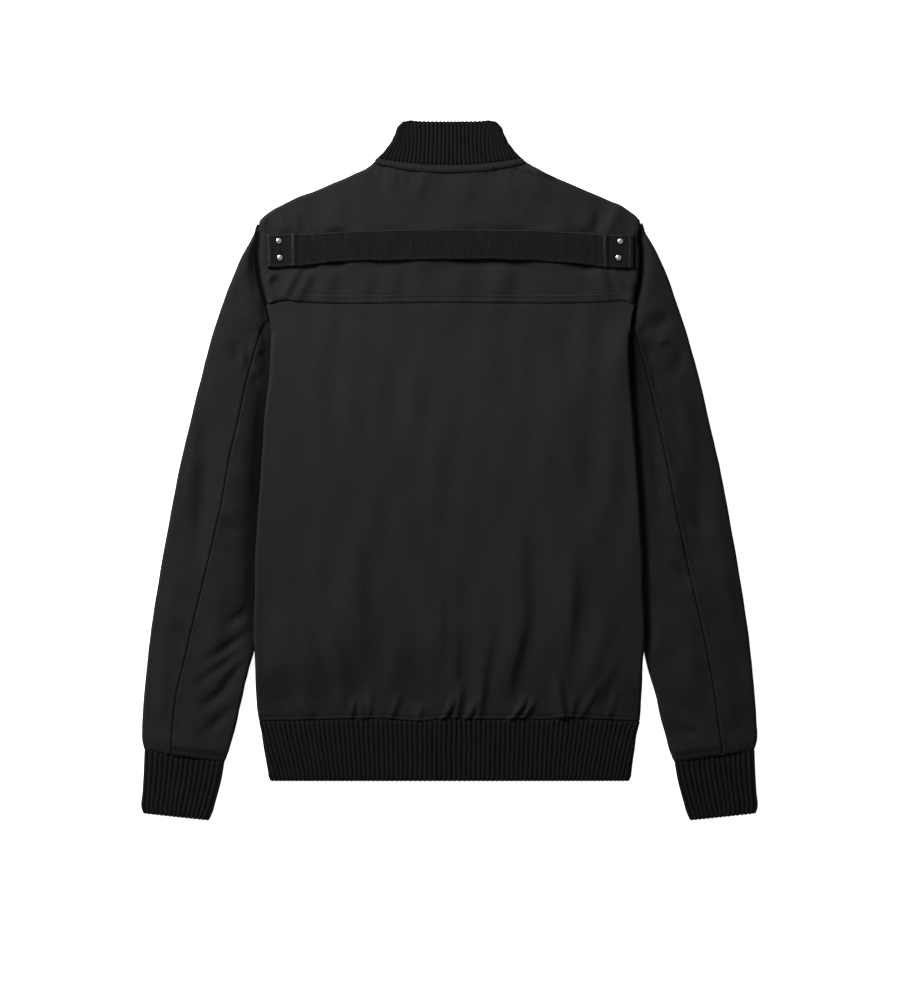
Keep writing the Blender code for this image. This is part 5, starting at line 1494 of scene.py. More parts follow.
def strap_crown(x, share):
    """Height of the strap's face above its flat form: selvedges, cross bars and folded ends."""
    bars = STRAP_BAR_RISE * bell(np.abs(x) - STRAP_BAR_X, STRAP_BAR_HALF)
    from_end = np.where(x < 0, x - STRAP[0][0], STRAP[-1][0] - x)
    hem = STRAP_HEM_RISE * ramp(from_end, STRAP_HEM, -1.2)
    selvedge = 0.28 * (bell(share - 0.035, 0.02) + bell(share - 0.965, 0.02))
    selvedge = selvedge - 0.2 * (bell(share - 0.09, 0.02) + bell(share - 0.91, 0.02))
    ripple = 0.12 * undulation(43, x, share * 12, 10, 30)
    return bars + hem + selvedge + ripple


def strap_top(x, y):
    """Height of the strap's face at points of the back."""
    upper, lower, stand_off = strap_edges(x)
    share = np.clip((y - lower) / (upper - lower), 0.0, 1.0)
    return strap_underside() + stand_off + STRAP_THICK + strap_crown(x, share)


def back_strap():
    """Webbing across the shoulders, which stands off the yoke between its riveted ends."""
    x = spaced(STRAP[0][0], STRAP[-1][0], 1.3, 0.4)
    upper, lower, stand_off = strap_edges(x)
    share = np.linspace(0, 1, STRAP_ROWS + 1)[:, None]
    crown = strap_crown(x[None], share)
    underside = np.broadcast_to(strap_underside() + stand_off, crown.shape)
    # Painted highlight along both edges, stronger along the upper one, and on each bar, stronger on
    # the left; painted shadow to the right of each bar.
    shade = 1 + 0.2 * bell(share - 0.03, 0.022) + 0.6 * bell(share - 0.97, 0.022)
    shade = shade + np.where(x < 0, 0.8, 0.6)[None] * bell(np.abs(x[None]) - STRAP_BAR_X, 1.6)
    for bar_x in (-STRAP_BAR_X, STRAP_BAR_X):
        shade = shade - 0.55 * bell(x[None] - bar_x - 3.2, 1)
    # Painted highlight on each folded end, stronger on the left, with a painted shadow line beside
    # it.
    from_end = np.where(x < 0, x - STRAP[0][0], STRAP[-1][0] - x)[None]
    painted_fold_light = np.where(x < 0, 0.7, 0.12)[None]
    shade = shade + painted_fold_light * (bell(from_end - 2.8, 2.2) - 0.7 * bell(from_end - 5.8, 0.9))
    y = lower[None] * (1 - share) + upper[None] * share
    # Painted shadow in a ring round each rivet.
    for _name, rivet_x, rivet_y in RIVETS:
        away = np.hypot(x[None] - rivet_x, y - rivet_y)
        shade = shade * (1 - 0.95 * bell(away - RIVET_RADIUS - 0.3, 1.1))
    made, inner = ribbon(
        "back_strap_webbing", joined(x, upper), joined(x, lower), underside, STRAP_THICK, "webbing",
        crown, shade
    )
    declare_cloth(made, "back_strap")


def strap_end(side, sign):
    """Turned-under end of the strap, between it and the yoke."""
    row = STRAP[0] if side == "left" else STRAP[-1]
    x = np.linspace(row[0], row[0] - sign * STRAP_END_LENGTH, 24)
    upper = joined(x, np.full(len(x), row[1] - SEAM_GAP))
    lower = joined(x, np.full(len(x), row[2] + SEAM_GAP + 1))
    underside = np.full((RIBBON_ROWS + 1, len(x)), LAYERS + SEAM_GAP)
    crown = np.zeros(underside.shape)
    name = "strap_end_" + side
    made, inner = ribbon(
        name + "_webbing", upper, lower, underside, STRAP_END_THICK, "webbing", crown
    )
    declare_cloth(made, name)


def solid_grid(grid):
    """A closed grid of points with its place in the piece and a plain shade."""
    return grid, grid * MM, np.ones(grid.shape[:2]), True


def turned(name, profile, centre, finish):
    """Solid of revolution about a vertical line: radius and height of a profile, turned round."""
    angle = np.arange(TURNED_SIDES) * TURN / TURNED_SIDES
    profile = np.asarray(profile, float)
    grid = joined(
        centre[0] + profile[:, :1] * np.cos(angle), centre[1] + profile[:, :1] * np.sin(angle),
        np.broadcast_to(profile[:, 1:], (len(profile), TURNED_SIDES))
    )
    return mesh_from_grids(name, [solid_grid(grid)], finish)


def rivet(name, x, y):
    """Domed rivet: a shallow rim, a groove and a dome of an ellipse, on a shank into the strap."""
    head = strap_underside() + STRAP_THICK + SEAM_GAP
    low = LAYERS - CLOTH - SEAM_GAP
    angle = np.linspace(0, HALF_TURN / 2, 9)
    dome = joined(2.6 * np.cos(angle), head + 0.7 + (RIVET_DOME - 0.7) * np.sin(angle))
    rim_edge = [(RIVET_RADIUS - inset, head + up) for inset, up in RIVET_RIM]
    profile = [(0.0, low), (RIVET_SHANK, low), (RIVET_SHANK, head), *rim_edge, *dome.tolist()]
    made = turned(name + "_head", profile, (x, y), "rivet_metal")
    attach(made, JACKET)
    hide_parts(name)


def line_at(line, lengths):
    """Points at the given lengths along a line of points."""
    at = line_length(line)
    return np.stack([np.interp(lengths, at, line[:, i]) for i in range(line.shape[1])], -1)


def stitch_row(line, up=1.0, length=STITCH_LENGTH, gap=STITCH_GAP, seed=0):
    """Start and end points of even stitches along a line of points, each a little out of place."""
    total = line_length(line)[-1]
    count = int(total / (length + gap))
    random = np.random.default_rng(seed)
    slips = random.uniform(-0.12, 0.12, (2, count))
    starts = np.arange(count) * total / count + gap / 2 + slips[0]
    return line_at(line, starts), line_at(line, starts + length + slips[1]), np.full(count, up)


def stitches(name, rows, finish="thread", width=STITCH_WIDTH, rise=STITCH_RISE):
    """One capsule for each stitch: rings of points whose radius falls to nothing at its ends.

    Along a stitch its middle line rises out of the cloth and sinks again, by the fourth power of
    the distance from its middle.
    """
    start = np.concatenate([row[0] for row in rows])[:, None]
    end = np.concatenate([row[1] for row in rows])[:, None]
    up = np.concatenate([row[2] for row in rows])[:, None, None]
    share = np.array(STITCH_SHARES)
    from_middle = 2 * share - 1
    radius = width / 2 * np.sqrt(1 - from_middle**6)
    height = rise * (1 - 2 * from_middle**4)
    along = unit(end - start)
    side = unit(joined(along[..., 1], -along[..., 0], np.zeros(along.shape[:-1])))
    upward = np.array([0.0, 0.0, 1.0]) * up
    middle = start + (end - start) * share[:, None] + upward * height[:, None]
    turn = np.arange(STITCH_SIDES) / STITCH_SIDES * TURN
    round_it = side[:, :, None] * np.cos(turn)[:, None] + upward[:, :, None] * np.sin(turn)[:, None]
    points = middle[:, :, None] + round_it * radius[None, :, None, None]
    made = build_mesh(name, points.reshape(-1, 3), many_faces(len(points), share, turn), finish)
    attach(made, JACKET)
    return made


def on_height(x, y, height):
    """Points in space from their places in plan and their heights."""
    return joined(x, y, np.broadcast_to(height, x.shape))


def body_stitches(settings):
    """Stitch rows on the yoke, the back's hem, the fronts' edges and hems."""
    depth = settings.fold_depth
    rows = []
    x = np.linspace(-YOKE_STITCH_REACH, YOKE_STITCH_REACH, 900)
    for number, above in enumerate(YOKE_STITCHES):
        y = yoke_seam(x) + above
        rows.append(stitch_row(on_height(x, y, yoke_top(x, y, depth)), seed=number))
    # The yoke's rows take the lighter copy of the thread, as painted highlight.
    stitches("yoke_stitches", rows, width=0.8)
    x = np.linspace(-HEM_STITCH_REACH, HEM_STITCH_REACH, 900)
    y = hem_seam(x) + HEM_STITCH
    row = stitch_row(on_height(x, y, back_top(x, y, depth)), seed=5)
    # The hem's row takes the darker copy of the thread, as painted shade in its groove.
    stitches("hem_stitches", [row], "shaded_thread", rise=0.0)
    rows = []
    for number, (_side, sign) in enumerate(SIDES):
        y = np.linspace(HEM_SEAM_Y + HEM_STITCH, FRONT_STITCH_TOP, 900)
        x = np.full(len(y), sign * FRONT_STITCH_X)
        height = lift(x, y) - np.minimum(front_relief(x, y, depth), 0.0)
        rows.append(stitch_row(on_height(x, y, height), -1.0, seed=10 + number))
        x = sign * np.linspace(FRONT_STITCH_X, HEM_STITCH_REACH - 4, 500)
        y = np.full(len(x), HEM_SEAM_Y + HEM_STITCH)
        height = lift(x, y) - np.minimum(front_relief(x, y, depth), 0.0)
        rows.append(stitch_row(on_height(x, y, height), -1.0, seed=12 + number))
    stitches("front_stitches", rows)


def neck_stitches():
    """Stitch row along the neck band's lower edge, and the bolder one under the rib."""
    x = np.linspace(-NECK_SIDE_X + 3, NECK_SIDE_X - 3, 600)
    rows = []
    for share in (NECK_STITCH, NECK_UPPER_STITCH):
        lower = neck_band_lower(x)
        y = lower + (neckline(x)[:, 1] - lower) * share
        fade = ramp(np.abs(x), NECK_SIDE_X, -10)
        height = LAYERS + SEAM_GAP + NECK_BAND_THICK + neck_band_crown(x, share) * fade
        rows.append(on_height(x, y, height))
    lower = stitch_row(rows[0], length=0.9, gap=1.3, seed=20)
    # Both rows take the darker copy of the thread, as painted shade.
    stitches("neck_band_stitches", [lower], "shaded_thread", width=1.0)
    upper = stitch_row(rows[1], length=2.9, gap=2.0, seed=21)
    stitches("collar_stitches", [upper], "shaded_thread", width=0.9, rise=0.45)


def cuff_stitches(settings):
    """Stitch row round each sleeve above its cuff."""
    for side, sign in SIDES:
        outer, _limit = sleeve_sections(side, 1.0)
        length = line_length(outer)
        outer_at = line_at(outer, [length[-1] - CUFF_STITCH])[0]
        inner = columns(SLEEVE[side], 4, 5)
        inner_at = line_at(inner, [line_length(inner)[-1] - CUFF_STITCH])[0]
        share = np.linspace(0.05, 0.95, 300)[:, None]
        line = (inner_at * (1 - share) + outer_at * share) * np.array([sign, 1.0])
        x, y = line[:, 0], line[:, 1]
        relief = sleeve_relief(side, x, y, settings.fold_depth)
        relief = relief + cuff_seam_relief(x, y, np.full(len(x), CUFF_STITCH))
        upper = stitch_row(on_height(x, y, LAYERS + relief), seed=30)
        lower = stitch_row(on_height(x, y, CUFF_UNDER_RISE), -1.0, seed=31)
        # Both rows take the darker copy of the thread, as painted shade in the cuff's groove.
        stitches(f"cuff_{side}_stitches", [upper, lower], "shaded_thread", rise=0.0)


def strap_stitches():
    """Fine light stitches along the strap's upper edge, and across its bars and its folded ends."""
    rows = []
    x = np.linspace(STRAP[0][0] + 1, STRAP[-1][0] - 1, 900)
    upper, _lower, _stand_off = strap_edges(x)
    y = upper - STRAP_STITCH_INSET
    rows.append(stitch_row(on_height(x, y, strap_top(x, y)), length=1.5, gap=1.3, seed=40))
    for end, sign, fold_half, fold_count in ((STRAP[0], 1, 1.2, 24), (STRAP[-1], -1, 0.5, 15)):
        fold = (end[0] + sign * 2.9, fold_half, fold_count)
        for middle, half, count in ((-sign * STRAP_BAR_X, 1.5, 28), fold):
            y = np.linspace(end[2] + 1.2, end[1] - 1.2, count)
            slant = (y - end[2]) * STRAP_HEM_SLANT * 0.5
            x = middle + half * np.array([-1.0, 1.0])[:, None] + slant
            y = y + np.array([0.0, 0.35])[:, None]
            ends = on_height(x, y, strap_top(x, y))
            rows.append((ends[0], ends[1], np.ones(count)))
    stitches("strap_stitches", rows, "light_thread", width=0.45, rise=0.14)


def slab(outline, low, high, rounding):
    """Solid plate over a closed outline in plan: rings at its two faces, set in by the rounding.

    Its rows run from a pole in the middle of the lower face, up its side, to the upper pole.
    """
    outline = np.asarray(outline, float)
    centre = outline.mean(axis=0)
    away = outline - centre
    size = np.linalg.norm(away, axis=1, keepdims=True)
    inset = centre + away * (1 - rounding / size)
    halfway = centre + away * (1 - 0.3 * rounding / size)
    levels = [
        (centre + 0 * away, low), (inset, low), (halfway, low + 0.3 * rounding),
        (outline, low + rounding), (outline, high - rounding), (halfway, high - 0.3 * rounding),
        (inset, high), (centre + 0 * away, high)
    ]
    grid = np.stack([on_height(ring[:, 0], ring[:, 1], level) for ring, level in levels])
    return solid_grid(grid)


def rounded_box(centre, half, power=6.0, sides=28):
    """Outline of a box with round corners: a superellipse of the given power."""
    angle = np.arange(sides) / sides * TURN
    cosine, sine = np.cos(angle), np.sin(angle)
    x = np.sign(cosine) * np.abs(cosine) ** (2 / power)
    y = np.sign(sine) * np.abs(sine) ** (2 / power)
    return joined(centre[0] + half[0] * x, centre[1] + half[1] * y)


def zip_tape(side, sign):
    """Woven tape of the zip: its stepped cross-section carried along it, slightly wavy."""
    section = np.array(TAPE_SECTION)
    along = line_length(section)
    at = np.linspace(0, along[-1], 17)
    section = hermite(along, section, at)
    y = spaced(ZIP_BOTTOM_Y, ZIP_TOP_Y, 2.8)
    x = np.broadcast_to(sign * section[:, 0], (len(y), len(section)))
    rows = np.broadcast_to(y[:, None], x.shape)
    sewn = ramp(section[:, 0], 5, 3)
    low = section[:, 1] + 0.12 * undulation(51, x, rows, 16, 40) * sewn
    inner = joined(x, rows, low)
    outer = joined(x, rows, low + TAPE_THICK)
    name = "zip_tape_" + side
    made = shell(name + "_woven", outer, inner, "zip_tape", 1.0, (0.4, 0.4, 0.6, 0.8))
    declare_cloth(made, name)


def zip_teeth():
    """Two rows of interlocked teeth, each a small slab that clamps a tape's edge.

    Near the slider's top the two rows part, by a smooth step of their height.
    """
    for number, (side, sign) in enumerate(SIDES):
        first_y = ZIP_BOTTOM_Y + ZIP_BOX_LENGTH + number * TOOTH_PITCH / 2
        y = np.arange(first_y, ZIP_TOP_Y - 3, TOOTH_PITCH)
        angle = np.arange(TOOTH_SIDES) / TOOTH_SIDES * TURN
        long_way = np.cos(angle) * (1 - 0.25 * np.abs(np.sin(angle)))
        wide_way = np.sin(angle) * (0.8 + 0.2 * np.abs(np.cos(angle)))
        ring_x = TOOTH_CENTRE + TOOTH_LONG / 2 * long_way
        ring_y = TOOTH_WIDE / 2 * wide_way
        sizes = np.array(TOOTH_SIZES)
        levels = TOOTH_MIDDLE + TOOTH_THICK * np.array(TOOTH_LEVELS)
        part = TOOTH_PARTING * smooth_step((y - SLIDER_Y + 4) / 7)
        x = TOOTH_CENTRE + (ring_x - TOOTH_CENTRE) * sizes[:, None]
        x = sign * (x[None] + part[:, None, None])
        points = joined(
            x, y[:, None, None] + ring_y * sizes[:, None], np.broadcast_to(levels[:, None], x.shape)
        )
        faces = many_faces(len(y), sizes, angle)
        made = build_mesh(
            f"zip_teeth_{side}", points.reshape(-1, 3), faces, "zip_metal", sharp=True
        )
        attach(made, JACKET)


def zip_stops():
    """Box at the bottom of the zip, in which the two tapes meet, and a stop above each row."""
    low, high = TOOTH_MIDDLE - 1.2, TOOTH_MIDDLE + 1.2
    y = ZIP_BOTTOM_Y + ZIP_BOX_LENGTH / 2
    grids = [slab(rounded_box((0.0, y), (3.6, ZIP_BOX_LENGTH / 2 - 0.4)), low, high, 0.35)]
    for _side, sign in SIDES:
        centre = (sign * (TOOTH_CENTRE + TOOTH_PARTING), ZIP_TOP_Y - 1.6)
        grids.append(slab(rounded_box(centre, (1.3, 1.2)), low + 0.2, high - 0.2, 0.3))
    made = mesh_from_grids("zip_stops", grids, "zip_metal", sharp=True)
    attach(made, JACKET)


def zip_slider():
    """Slider: two plates whose rails run beside the tapes, a wedge between them and a bridge."""
    under, face, rail_top = SLIDER_OUTER
    rail_low, inner_face, top = SLIDER_INNER
    half = SLIDER_HALF_WIDTH
    outline = rounded_box((0.0, SLIDER_Y), (half, SLIDER_HALF_LENGTH), 5, 40)
    grids = [slab(outline, under, face, 0.25), slab(outline, inner_face, top, 0.3)]
    rail = SLIDER_RAIL / 2
    for _side, sign in SIDES:
        centre = (sign * (half - rail), SLIDER_Y)
        outline = rounded_box(centre, (rail, SLIDER_HALF_LENGTH - 1.6), 5)
        grids.append(slab(outline, under + 0.1, rail_top, 0.12))
        grids.append(slab(outline, rail_low, top - 0.1, 0.12))
    wedge = rounded_box((0.0, SLIDER_Y + 4.3), (0.6, 1.8), 2.5)
    grids.append(slab(wedge, under + 0.1, top - 0.1, 0.1))
    reach = BRIDGE_HALF_LENGTH
    bar_top = BRIDGE_LOW + BRIDGE_THICK
    bridge = rounded_box((0.0, SLIDER_Y), (BRIDGE_HALF_WIDTH, reach), 5)
    grids.append(slab(bridge, BRIDGE_LOW, bar_top, 0.25))
    for y in (SLIDER_Y - reach + BRIDGE_FOOT / 2, SLIDER_Y + reach - BRIDGE_FOOT / 2):
        foot = rounded_box((0.0, y), (BRIDGE_HALF_WIDTH, BRIDGE_FOOT / 2), 4)
        grids.append(slab(foot, BRIDGE_LOW + 0.1, face - 0.1, 0.1))
    made = mesh_from_grids("zip_slider_body", grids, "zip_metal", sharp=True)
    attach(made, JACKET)
    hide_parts("zip_slider")


def drooped(points):
    """Points given about the pull's hinge, turned down by its droop and moved to the hinge."""
    y, z = points[..., 1], points[..., 2]
    cosine, sine = math.cos(PULL_DROOP), math.sin(PULL_DROOP)
    turned_y = SLIDER_Y + y * cosine - z * sine
    turned_z = PULL_AXIS_Z + y * sine + z * cosine
    return joined(points[..., 0], turned_y, turned_z)


def pull_outline(angle, width, start, end, power):
    """Closed outline about the pull's middle line: a superellipse between two distances."""
    cosine, sine = np.cos(angle), np.sin(angle)
    x = width * np.sign(cosine) * np.abs(cosine) ** (2 / power)
    y = -(start + end) / 2 + (end - start) / 2 * np.sign(sine) * np.abs(sine) ** (2 / power)
    return x, y


def zip_pull():
    """Pull: a rounded section carried round its window, from the window's edge to the outline.

    The plate has a raised border, and a round bar closes the window at the hinge.
    """
    angle = np.arange(64) / 64 * TURN
    inner_x, inner_y = pull_outline(angle, PULL_WINDOW_HALF_WIDTH, -0.1, PULL_WINDOW_LENGTH, 3.5)
    outer_x, outer_y = pull_outline(angle, PULL_HALF_WIDTH, -0.3, PULL_LENGTH, 4.5)
    narrow = 1 - 0.17 * smooth_step((outer_y + PULL_WINDOW_LENGTH) / PULL_WINDOW_LENGTH)
    outer_x = outer_x * narrow
    share = np.array([*PULL_SHARES, *PULL_SHARES[::-1]])
    level = np.array(PULL_LEVELS)
    level = PULL_HALF_THICK * np.concatenate([level, -level[::-1]])
    share = np.append(share, share[0])[:, None]
    level = np.append(level, level[0])[:, None]
    x = inner_x * (1 - share) + outer_x * share
    y = inner_y * (1 - share) + outer_y * share
    grid = drooped(joined(x, y, np.broadcast_to(level, x.shape)))
    grids = [solid_grid(grid)]
    turn = np.arange(16) / 16 * TURN
    reach = PULL_WINDOW_HALF_WIDTH + 0.5
    across = np.array([-reach, -reach, reach, reach])[:, None]
    radius = PULL_BAR_RADIUS * np.array([0.0, 1.0, 1.0, 0.0])[:, None]
    bar = drooped(joined(across + 0 * turn, radius * np.cos(turn), radius * np.sin(turn)))
    grids.append(solid_grid(bar))
    made = mesh_from_grids("zip_pull_tab", grids, "zip_metal", sharp=True)
    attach(made, PULL)
    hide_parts("zip_pull")


class Number:
    """Number from a shader socket: arithmetic on it adds the Math nodes."""

    def __init__(self, finish, socket):
        self.finish = finish
        self.socket = socket

    def __add__(self, other):
        return self.finish.maths("ADD", self, other)

    __radd__ = __add__

    def __mul__(self, other):
        return self.finish.maths("MULTIPLY", self, other)

    __rmul__ = __mul__

    def __sub__(self, other):
        return self.finish.maths("SUBTRACT", self, other)

    def __rsub__(self, other):
        return self.finish.maths("SUBTRACT", other, self)

    def __pow__(self, other):
        return self.finish.maths("POWER", self, other)


class Finish:
    """A material in the making: its nodes, and its Principled shader."""

    def __init__(self, name, **constants):
        self.material = bpy.data.materials.new(name)
        self.material.use_nodes = True
        self.tree = self.material.node_tree
        self.shader = self.tree.nodes["Principled BSDF"]
        for socket, value in constants.items():
            self.shader.inputs[socket.replace("_", " ")].default_value = value

    def node(self, kind, settings=None, output=0, **sockets):
        """Adds a node: its settings first, then the values or links of its sockets by name."""
        made = self.tree.nodes.new(kind)
        for setting, value in (settings or {}).items():
            setattr(made, setting, value)
        for socket, value in sockets.items():
            self.feed(made.inputs[socket.replace("_", " ")], value)
        return Number(self, made.outputs[output])

    def feed(self, socket, value):
        """Links a value to a socket, or sets it."""
        if isinstance(value, Number):
            self.tree.links.new(value.socket, socket)
        else:
            socket.default_value = value

    def set(self, socket, value):
        """Feeds one of the shader's own sockets."""
        self.feed(self.shader.inputs[socket], value)

    def maths(self, operation, first, second=0.0):
        """One Math node."""
        made = self.tree.nodes.new("ShaderNodeMath")
        made.operation = operation
        for socket, value in zip(made.inputs, (first, second)):
            self.feed(socket, value)
        return Number(self, made.outputs[0])

    def sine(self, value):
        """Sine of a number."""
        return self.maths("SINE", value)

    def parts(self, vector):
        """The three numbers of a vector."""
        made = self.tree.nodes.new("ShaderNodeSeparateXYZ")
        self.feed(made.inputs[0], vector)
        return [Number(self, output) for output in made.outputs]

    def cloth(self):
        """Place in the cloth, and how far it is across and down it."""
        place = self.node("ShaderNodeAttribute", {"attribute_name": "cloth"}, 1)
        return place, *self.parts(place)[:2]

    def painted_light(self):
        """Painted shade and light at a point: the factor on the colour that the mesh carries."""
        return self.node("ShaderNodeAttribute", {"attribute_name": "shade"}, 2)

    def object_place(self):
        """Place in the piece, in metres."""
        return self.node("ShaderNodeTexCoord", None, 3)

    def noise(self, place, wavelength, detail=2.0, roughness=0.5, stretch=(1.0, 1.0, 1.0)):
        """Soft noise from 0 to 1, of about the given wavelength in metres."""
        place = self.node("ShaderNodeMapping", Vector=place, Scale=stretch)
        return self.node(
            "ShaderNodeTexNoise", None, 0, Vector=place, Scale=1.0 / wavelength, Detail=detail,
            Roughness=roughness
        )

    def tinted(self, colour, brightness):
        """A colour times a number."""
        made = self.tree.nodes.new("ShaderNodeMix")
        made.data_type = "RGBA"
        made.blend_type = "MULTIPLY"
        made.inputs["Factor"].default_value = 1.0
        first, second = [socket for socket in made.inputs if socket.type == "RGBA"]
        first.default_value = (*colour, 1.0)
        self.feed(second, brightness)
        mixed = next(socket for socket in made.outputs if socket.type == "RGBA")
        return Number(self, mixed)

    def dressed(self, colour, bright, roughness, height, distance):
        """The material with these: the colour times the brightness, how rough it is, and its bumps.

        The surface is raised by the height, from 0 to 1, times the distance in metres.
        """
        self.set("Base Color", self.tinted(colour, bright))
        self.set("Roughness", roughness)
        bump = self.node("ShaderNodeBump", Height=height, Distance=distance, Strength=1.0)
        self.set("Normal", bump)
        return self.material


def cloth_finish(settings):
    """Matt twill: fine diagonal yarns, slubs and soft mottling, times the painted shade and light.
    """
    made = Finish("matt_twill", Roughness=0.82, Specular_IOR_Level=0.0, Sheen_Weight=0.006)
    made.shader.inputs["Sheen Roughness"].default_value = 0.55
    place, across, down = made.cloth()
    slant = made.sine((across * 0.85 + down * 0.55) * (TURN / 0.00095))
    yarn = made.sine((across * 0.5 - down * 0.9) * (TURN / 0.0006))
    weave = slant * 0.32 + yarn * 0.12 + 0.5
    slubs = made.noise(place, 0.0013, 2.0, 0.6, (1.0, 0.6, 1.0))
    grain = made.noise(place, 0.0045, 2.0, 0.6)
    mottling = made.noise(place, 0.055, 3.0, 0.5)
    bright = made.painted_light() * (slubs * 0.85 + weave * 0.12 + grain * 0.18 + mottling * 0.2 + 0.32)
    height = weave * 0.35 + slubs * 0.4 + grain * 0.12
    return made.dressed(settings.cloth_colour, bright, slubs * 0.12 + 0.76, height, 0.00035)


def rib_finish(settings):
    """Rib knit: small chains of stitches up each rib, with a soft fuzz, times the painted shade
    that darkens its grooves.
    """
    made = Finish("rib_knit_wool", Roughness=0.93, Specular_IOR_Level=0.0, Sheen_Weight=0.006)
    made.shader.inputs["Sheen Roughness"].default_value = 0.6
    place, across, down = made.cloth()
    chain = made.maths("PINGPONG", across, 0.0009) * (1.0 / 0.0009)
    loops = made.sine((down * (1.0 / 0.0021) + chain * 0.45) * TURN) * 0.5 + 0.5
    fuzz = made.noise(place, 0.0009, 3.0, 0.65)
    patches = made.noise(place, 0.02, 2.0, 0.5)
    bright = made.painted_light() * (loops * 0.6 + fuzz * 1.6 + patches * 0.3 - 0.25)
    height = loops * 0.7 + fuzz * 0.4
    return made.dressed(settings.rib_colour, bright, fuzz * 0.08 + 0.88, height, 0.0006)


def webbing_finish(settings):
    """Woven webbing: close ribs across it, alternating from row to row, times the painted
    highlights and shadows on the strap.
    """
    made = Finish("ribbed_webbing", Roughness=0.7, Specular_IOR_Level=0.02, Sheen_Weight=0.0)
    place, across, down = made.cloth()
    row = made.maths("FLOOR", down * (1.0 / 0.0016)) * 0.5
    ribs = made.sine((across * (1.0 / 0.0013) + row) * TURN) * 0.5 + 0.5
    gaps = made.sine(down * (TURN / 0.0016)) * 0.5 + 0.5
    wear = made.noise(place, 0.006, 3.0, 0.6)
    painted_light = made.painted_light()
    speckle = made.noise(place, 0.0011, 2.0, 0.7, (1.0, 0.7, 1.0))
    streaks = made.noise(place, 0.0035, 2.0, 0.6, (1.0, 0.15, 1.0))
    bright = painted_light * (ribs * 0.3 + gaps * 0.1 + wear * 0.3 + speckle * 3.3 + streaks * 1 - 1.5)
    height = ribs * (gaps * 0.4 + 0.6)
    return made.dressed(settings.webbing_colour, bright, wear * 0.15 + 0.62, height, 0.0004)


def tape_finish(settings):
    """Zip tape: a fine herringbone of slanted yarns that turns every few millimetres."""
    made = Finish("herringbone_tape", Roughness=0.8, Specular_IOR_Level=0.15)
    place, across, down = made.cloth()
    zigzag = made.maths("PINGPONG", across, 0.0018)
    yarns = made.sine((down + zigzag) * (TURN / 0.0008)) * 0.5 + 0.5
    wear = made.noise(place, 0.003, 3.0, 0.6)
    bright = yarns * 0.5 + wear * 0.6 + 0.45
    return made.dressed(settings.tape_colour, bright, wear * 0.15 + 0.72, yarns, 0.0003)


def thread_finish(name, colour):
    """Sewing thread: two twisted plies, a little glossy."""
    made = Finish(name, Roughness=0.6, Specular_IOR_Level=0.25)
    place = made.object_place()
    x, y, z = made.parts(place)
    twist = made.sine((x + y + z) * (TURN / 0.0007)) * 0.5 + 0.5
    fluff = made.noise(place, 0.004, 2.0, 0.5)
    bright = twist * 0.35 + fluff * 0.5 + 0.55
    return made.dressed(colour, bright, fluff * 0.2 + 0.5, twist, 0.0001)


def rivet_finish(settings):
    """Polished metal with faint scratches and slightly duller patches."""
    made = Finish("polished_metal", Metallic=1.0, Roughness=0.16)
    place = made.object_place()
    patches = made.noise(place, 0.003, 3.0, 0.6)
    scratches = made.noise(place, 0.0007, 2.0, 0.7, (1.0, 0.08, 1.0))
    roughness = patches * 0.16 + scratches * 0.08 + 0.08
    bright = patches * 0.12 + 0.92
    return made.dressed(settings.rivet_colour, bright, roughness, scratches, 0.00002)


def zip_finish(settings):
    """Dark plated metal, rubbed a little brighter in patches."""
    made = Finish("dark_metal", Metallic=1.0, Roughness=0.34)
    place = made.object_place()
    patches = made.noise(place, 0.004, 3.0, 0.6)
    grain = made.noise(place, 0.0006, 2.0, 0.6)
    bright = patches * 0.9 + grain * 0.3 + 0.4
    return made.dressed(settings.zip_colour, bright, patches * 0.2 + 0.26, grain, 0.00003)


def material(finish):
    """The finish's material, made when it is first needed."""
    if finish not in READY:
        settings = bpy.context.scene.jacket_settings
        READY[finish] = MAKERS[finish](settings)
    return READY[finish]


READY = {
}
MAKERS = {
    "cloth": cloth_finish, "rib_knit": rib_finish, "webbing": webbing_finish,
    "zip_tape": tape_finish, "rivet_metal": rivet_finish, "zip_metal": zip_finish,
    # Lit and shaded copies of one thread: the lighter for rows that catch the light, the darker, in
    # the zip tape's colour, for rows in shade.
    "thread": lambda settings: thread_finish("lit_thread", settings.thread_colour),
    "shaded_thread": lambda settings: thread_finish("shaded_thread", settings.tape_colour),
    "light_thread": lambda settings: thread_finish("strap_thread", settings.strap_thread_colour)
}


def floor(studio):
    """Pale floor that also glows a little, just below the jacket."""
    corners = np.array([[-1, -1], [1, -1], [1, 1], [-1, 1]]) * FLOOR_HALF
    mesh = bpy.data.meshes.new("floor")
    points = np.column_stack([corners, np.full(4, FLOOR_Z)])
    mesh.from_pydata(points.tolist(), [], [(0, 1, 2, 3)])
    made = Finish("pale_floor", Roughness=0.9, Specular_IOR_Level=0.1)
    place = made.object_place()
    grain = made.noise(place, 0.5, 2.0, 0.5)
    made.set("Base Color", made.tinted(studio.floor_colour, grain * 0.01 + 0.995))
    made.set("Emission Color", (1.0, 1.0, 1.0, 1.0))
    made.set("Emission Strength", studio.floor_glow)
    mesh.materials.append(made.material)
    plane = bpy.data.objects.new("floor", mesh)
    bpy.context.scene.collection.objects.link(plane)


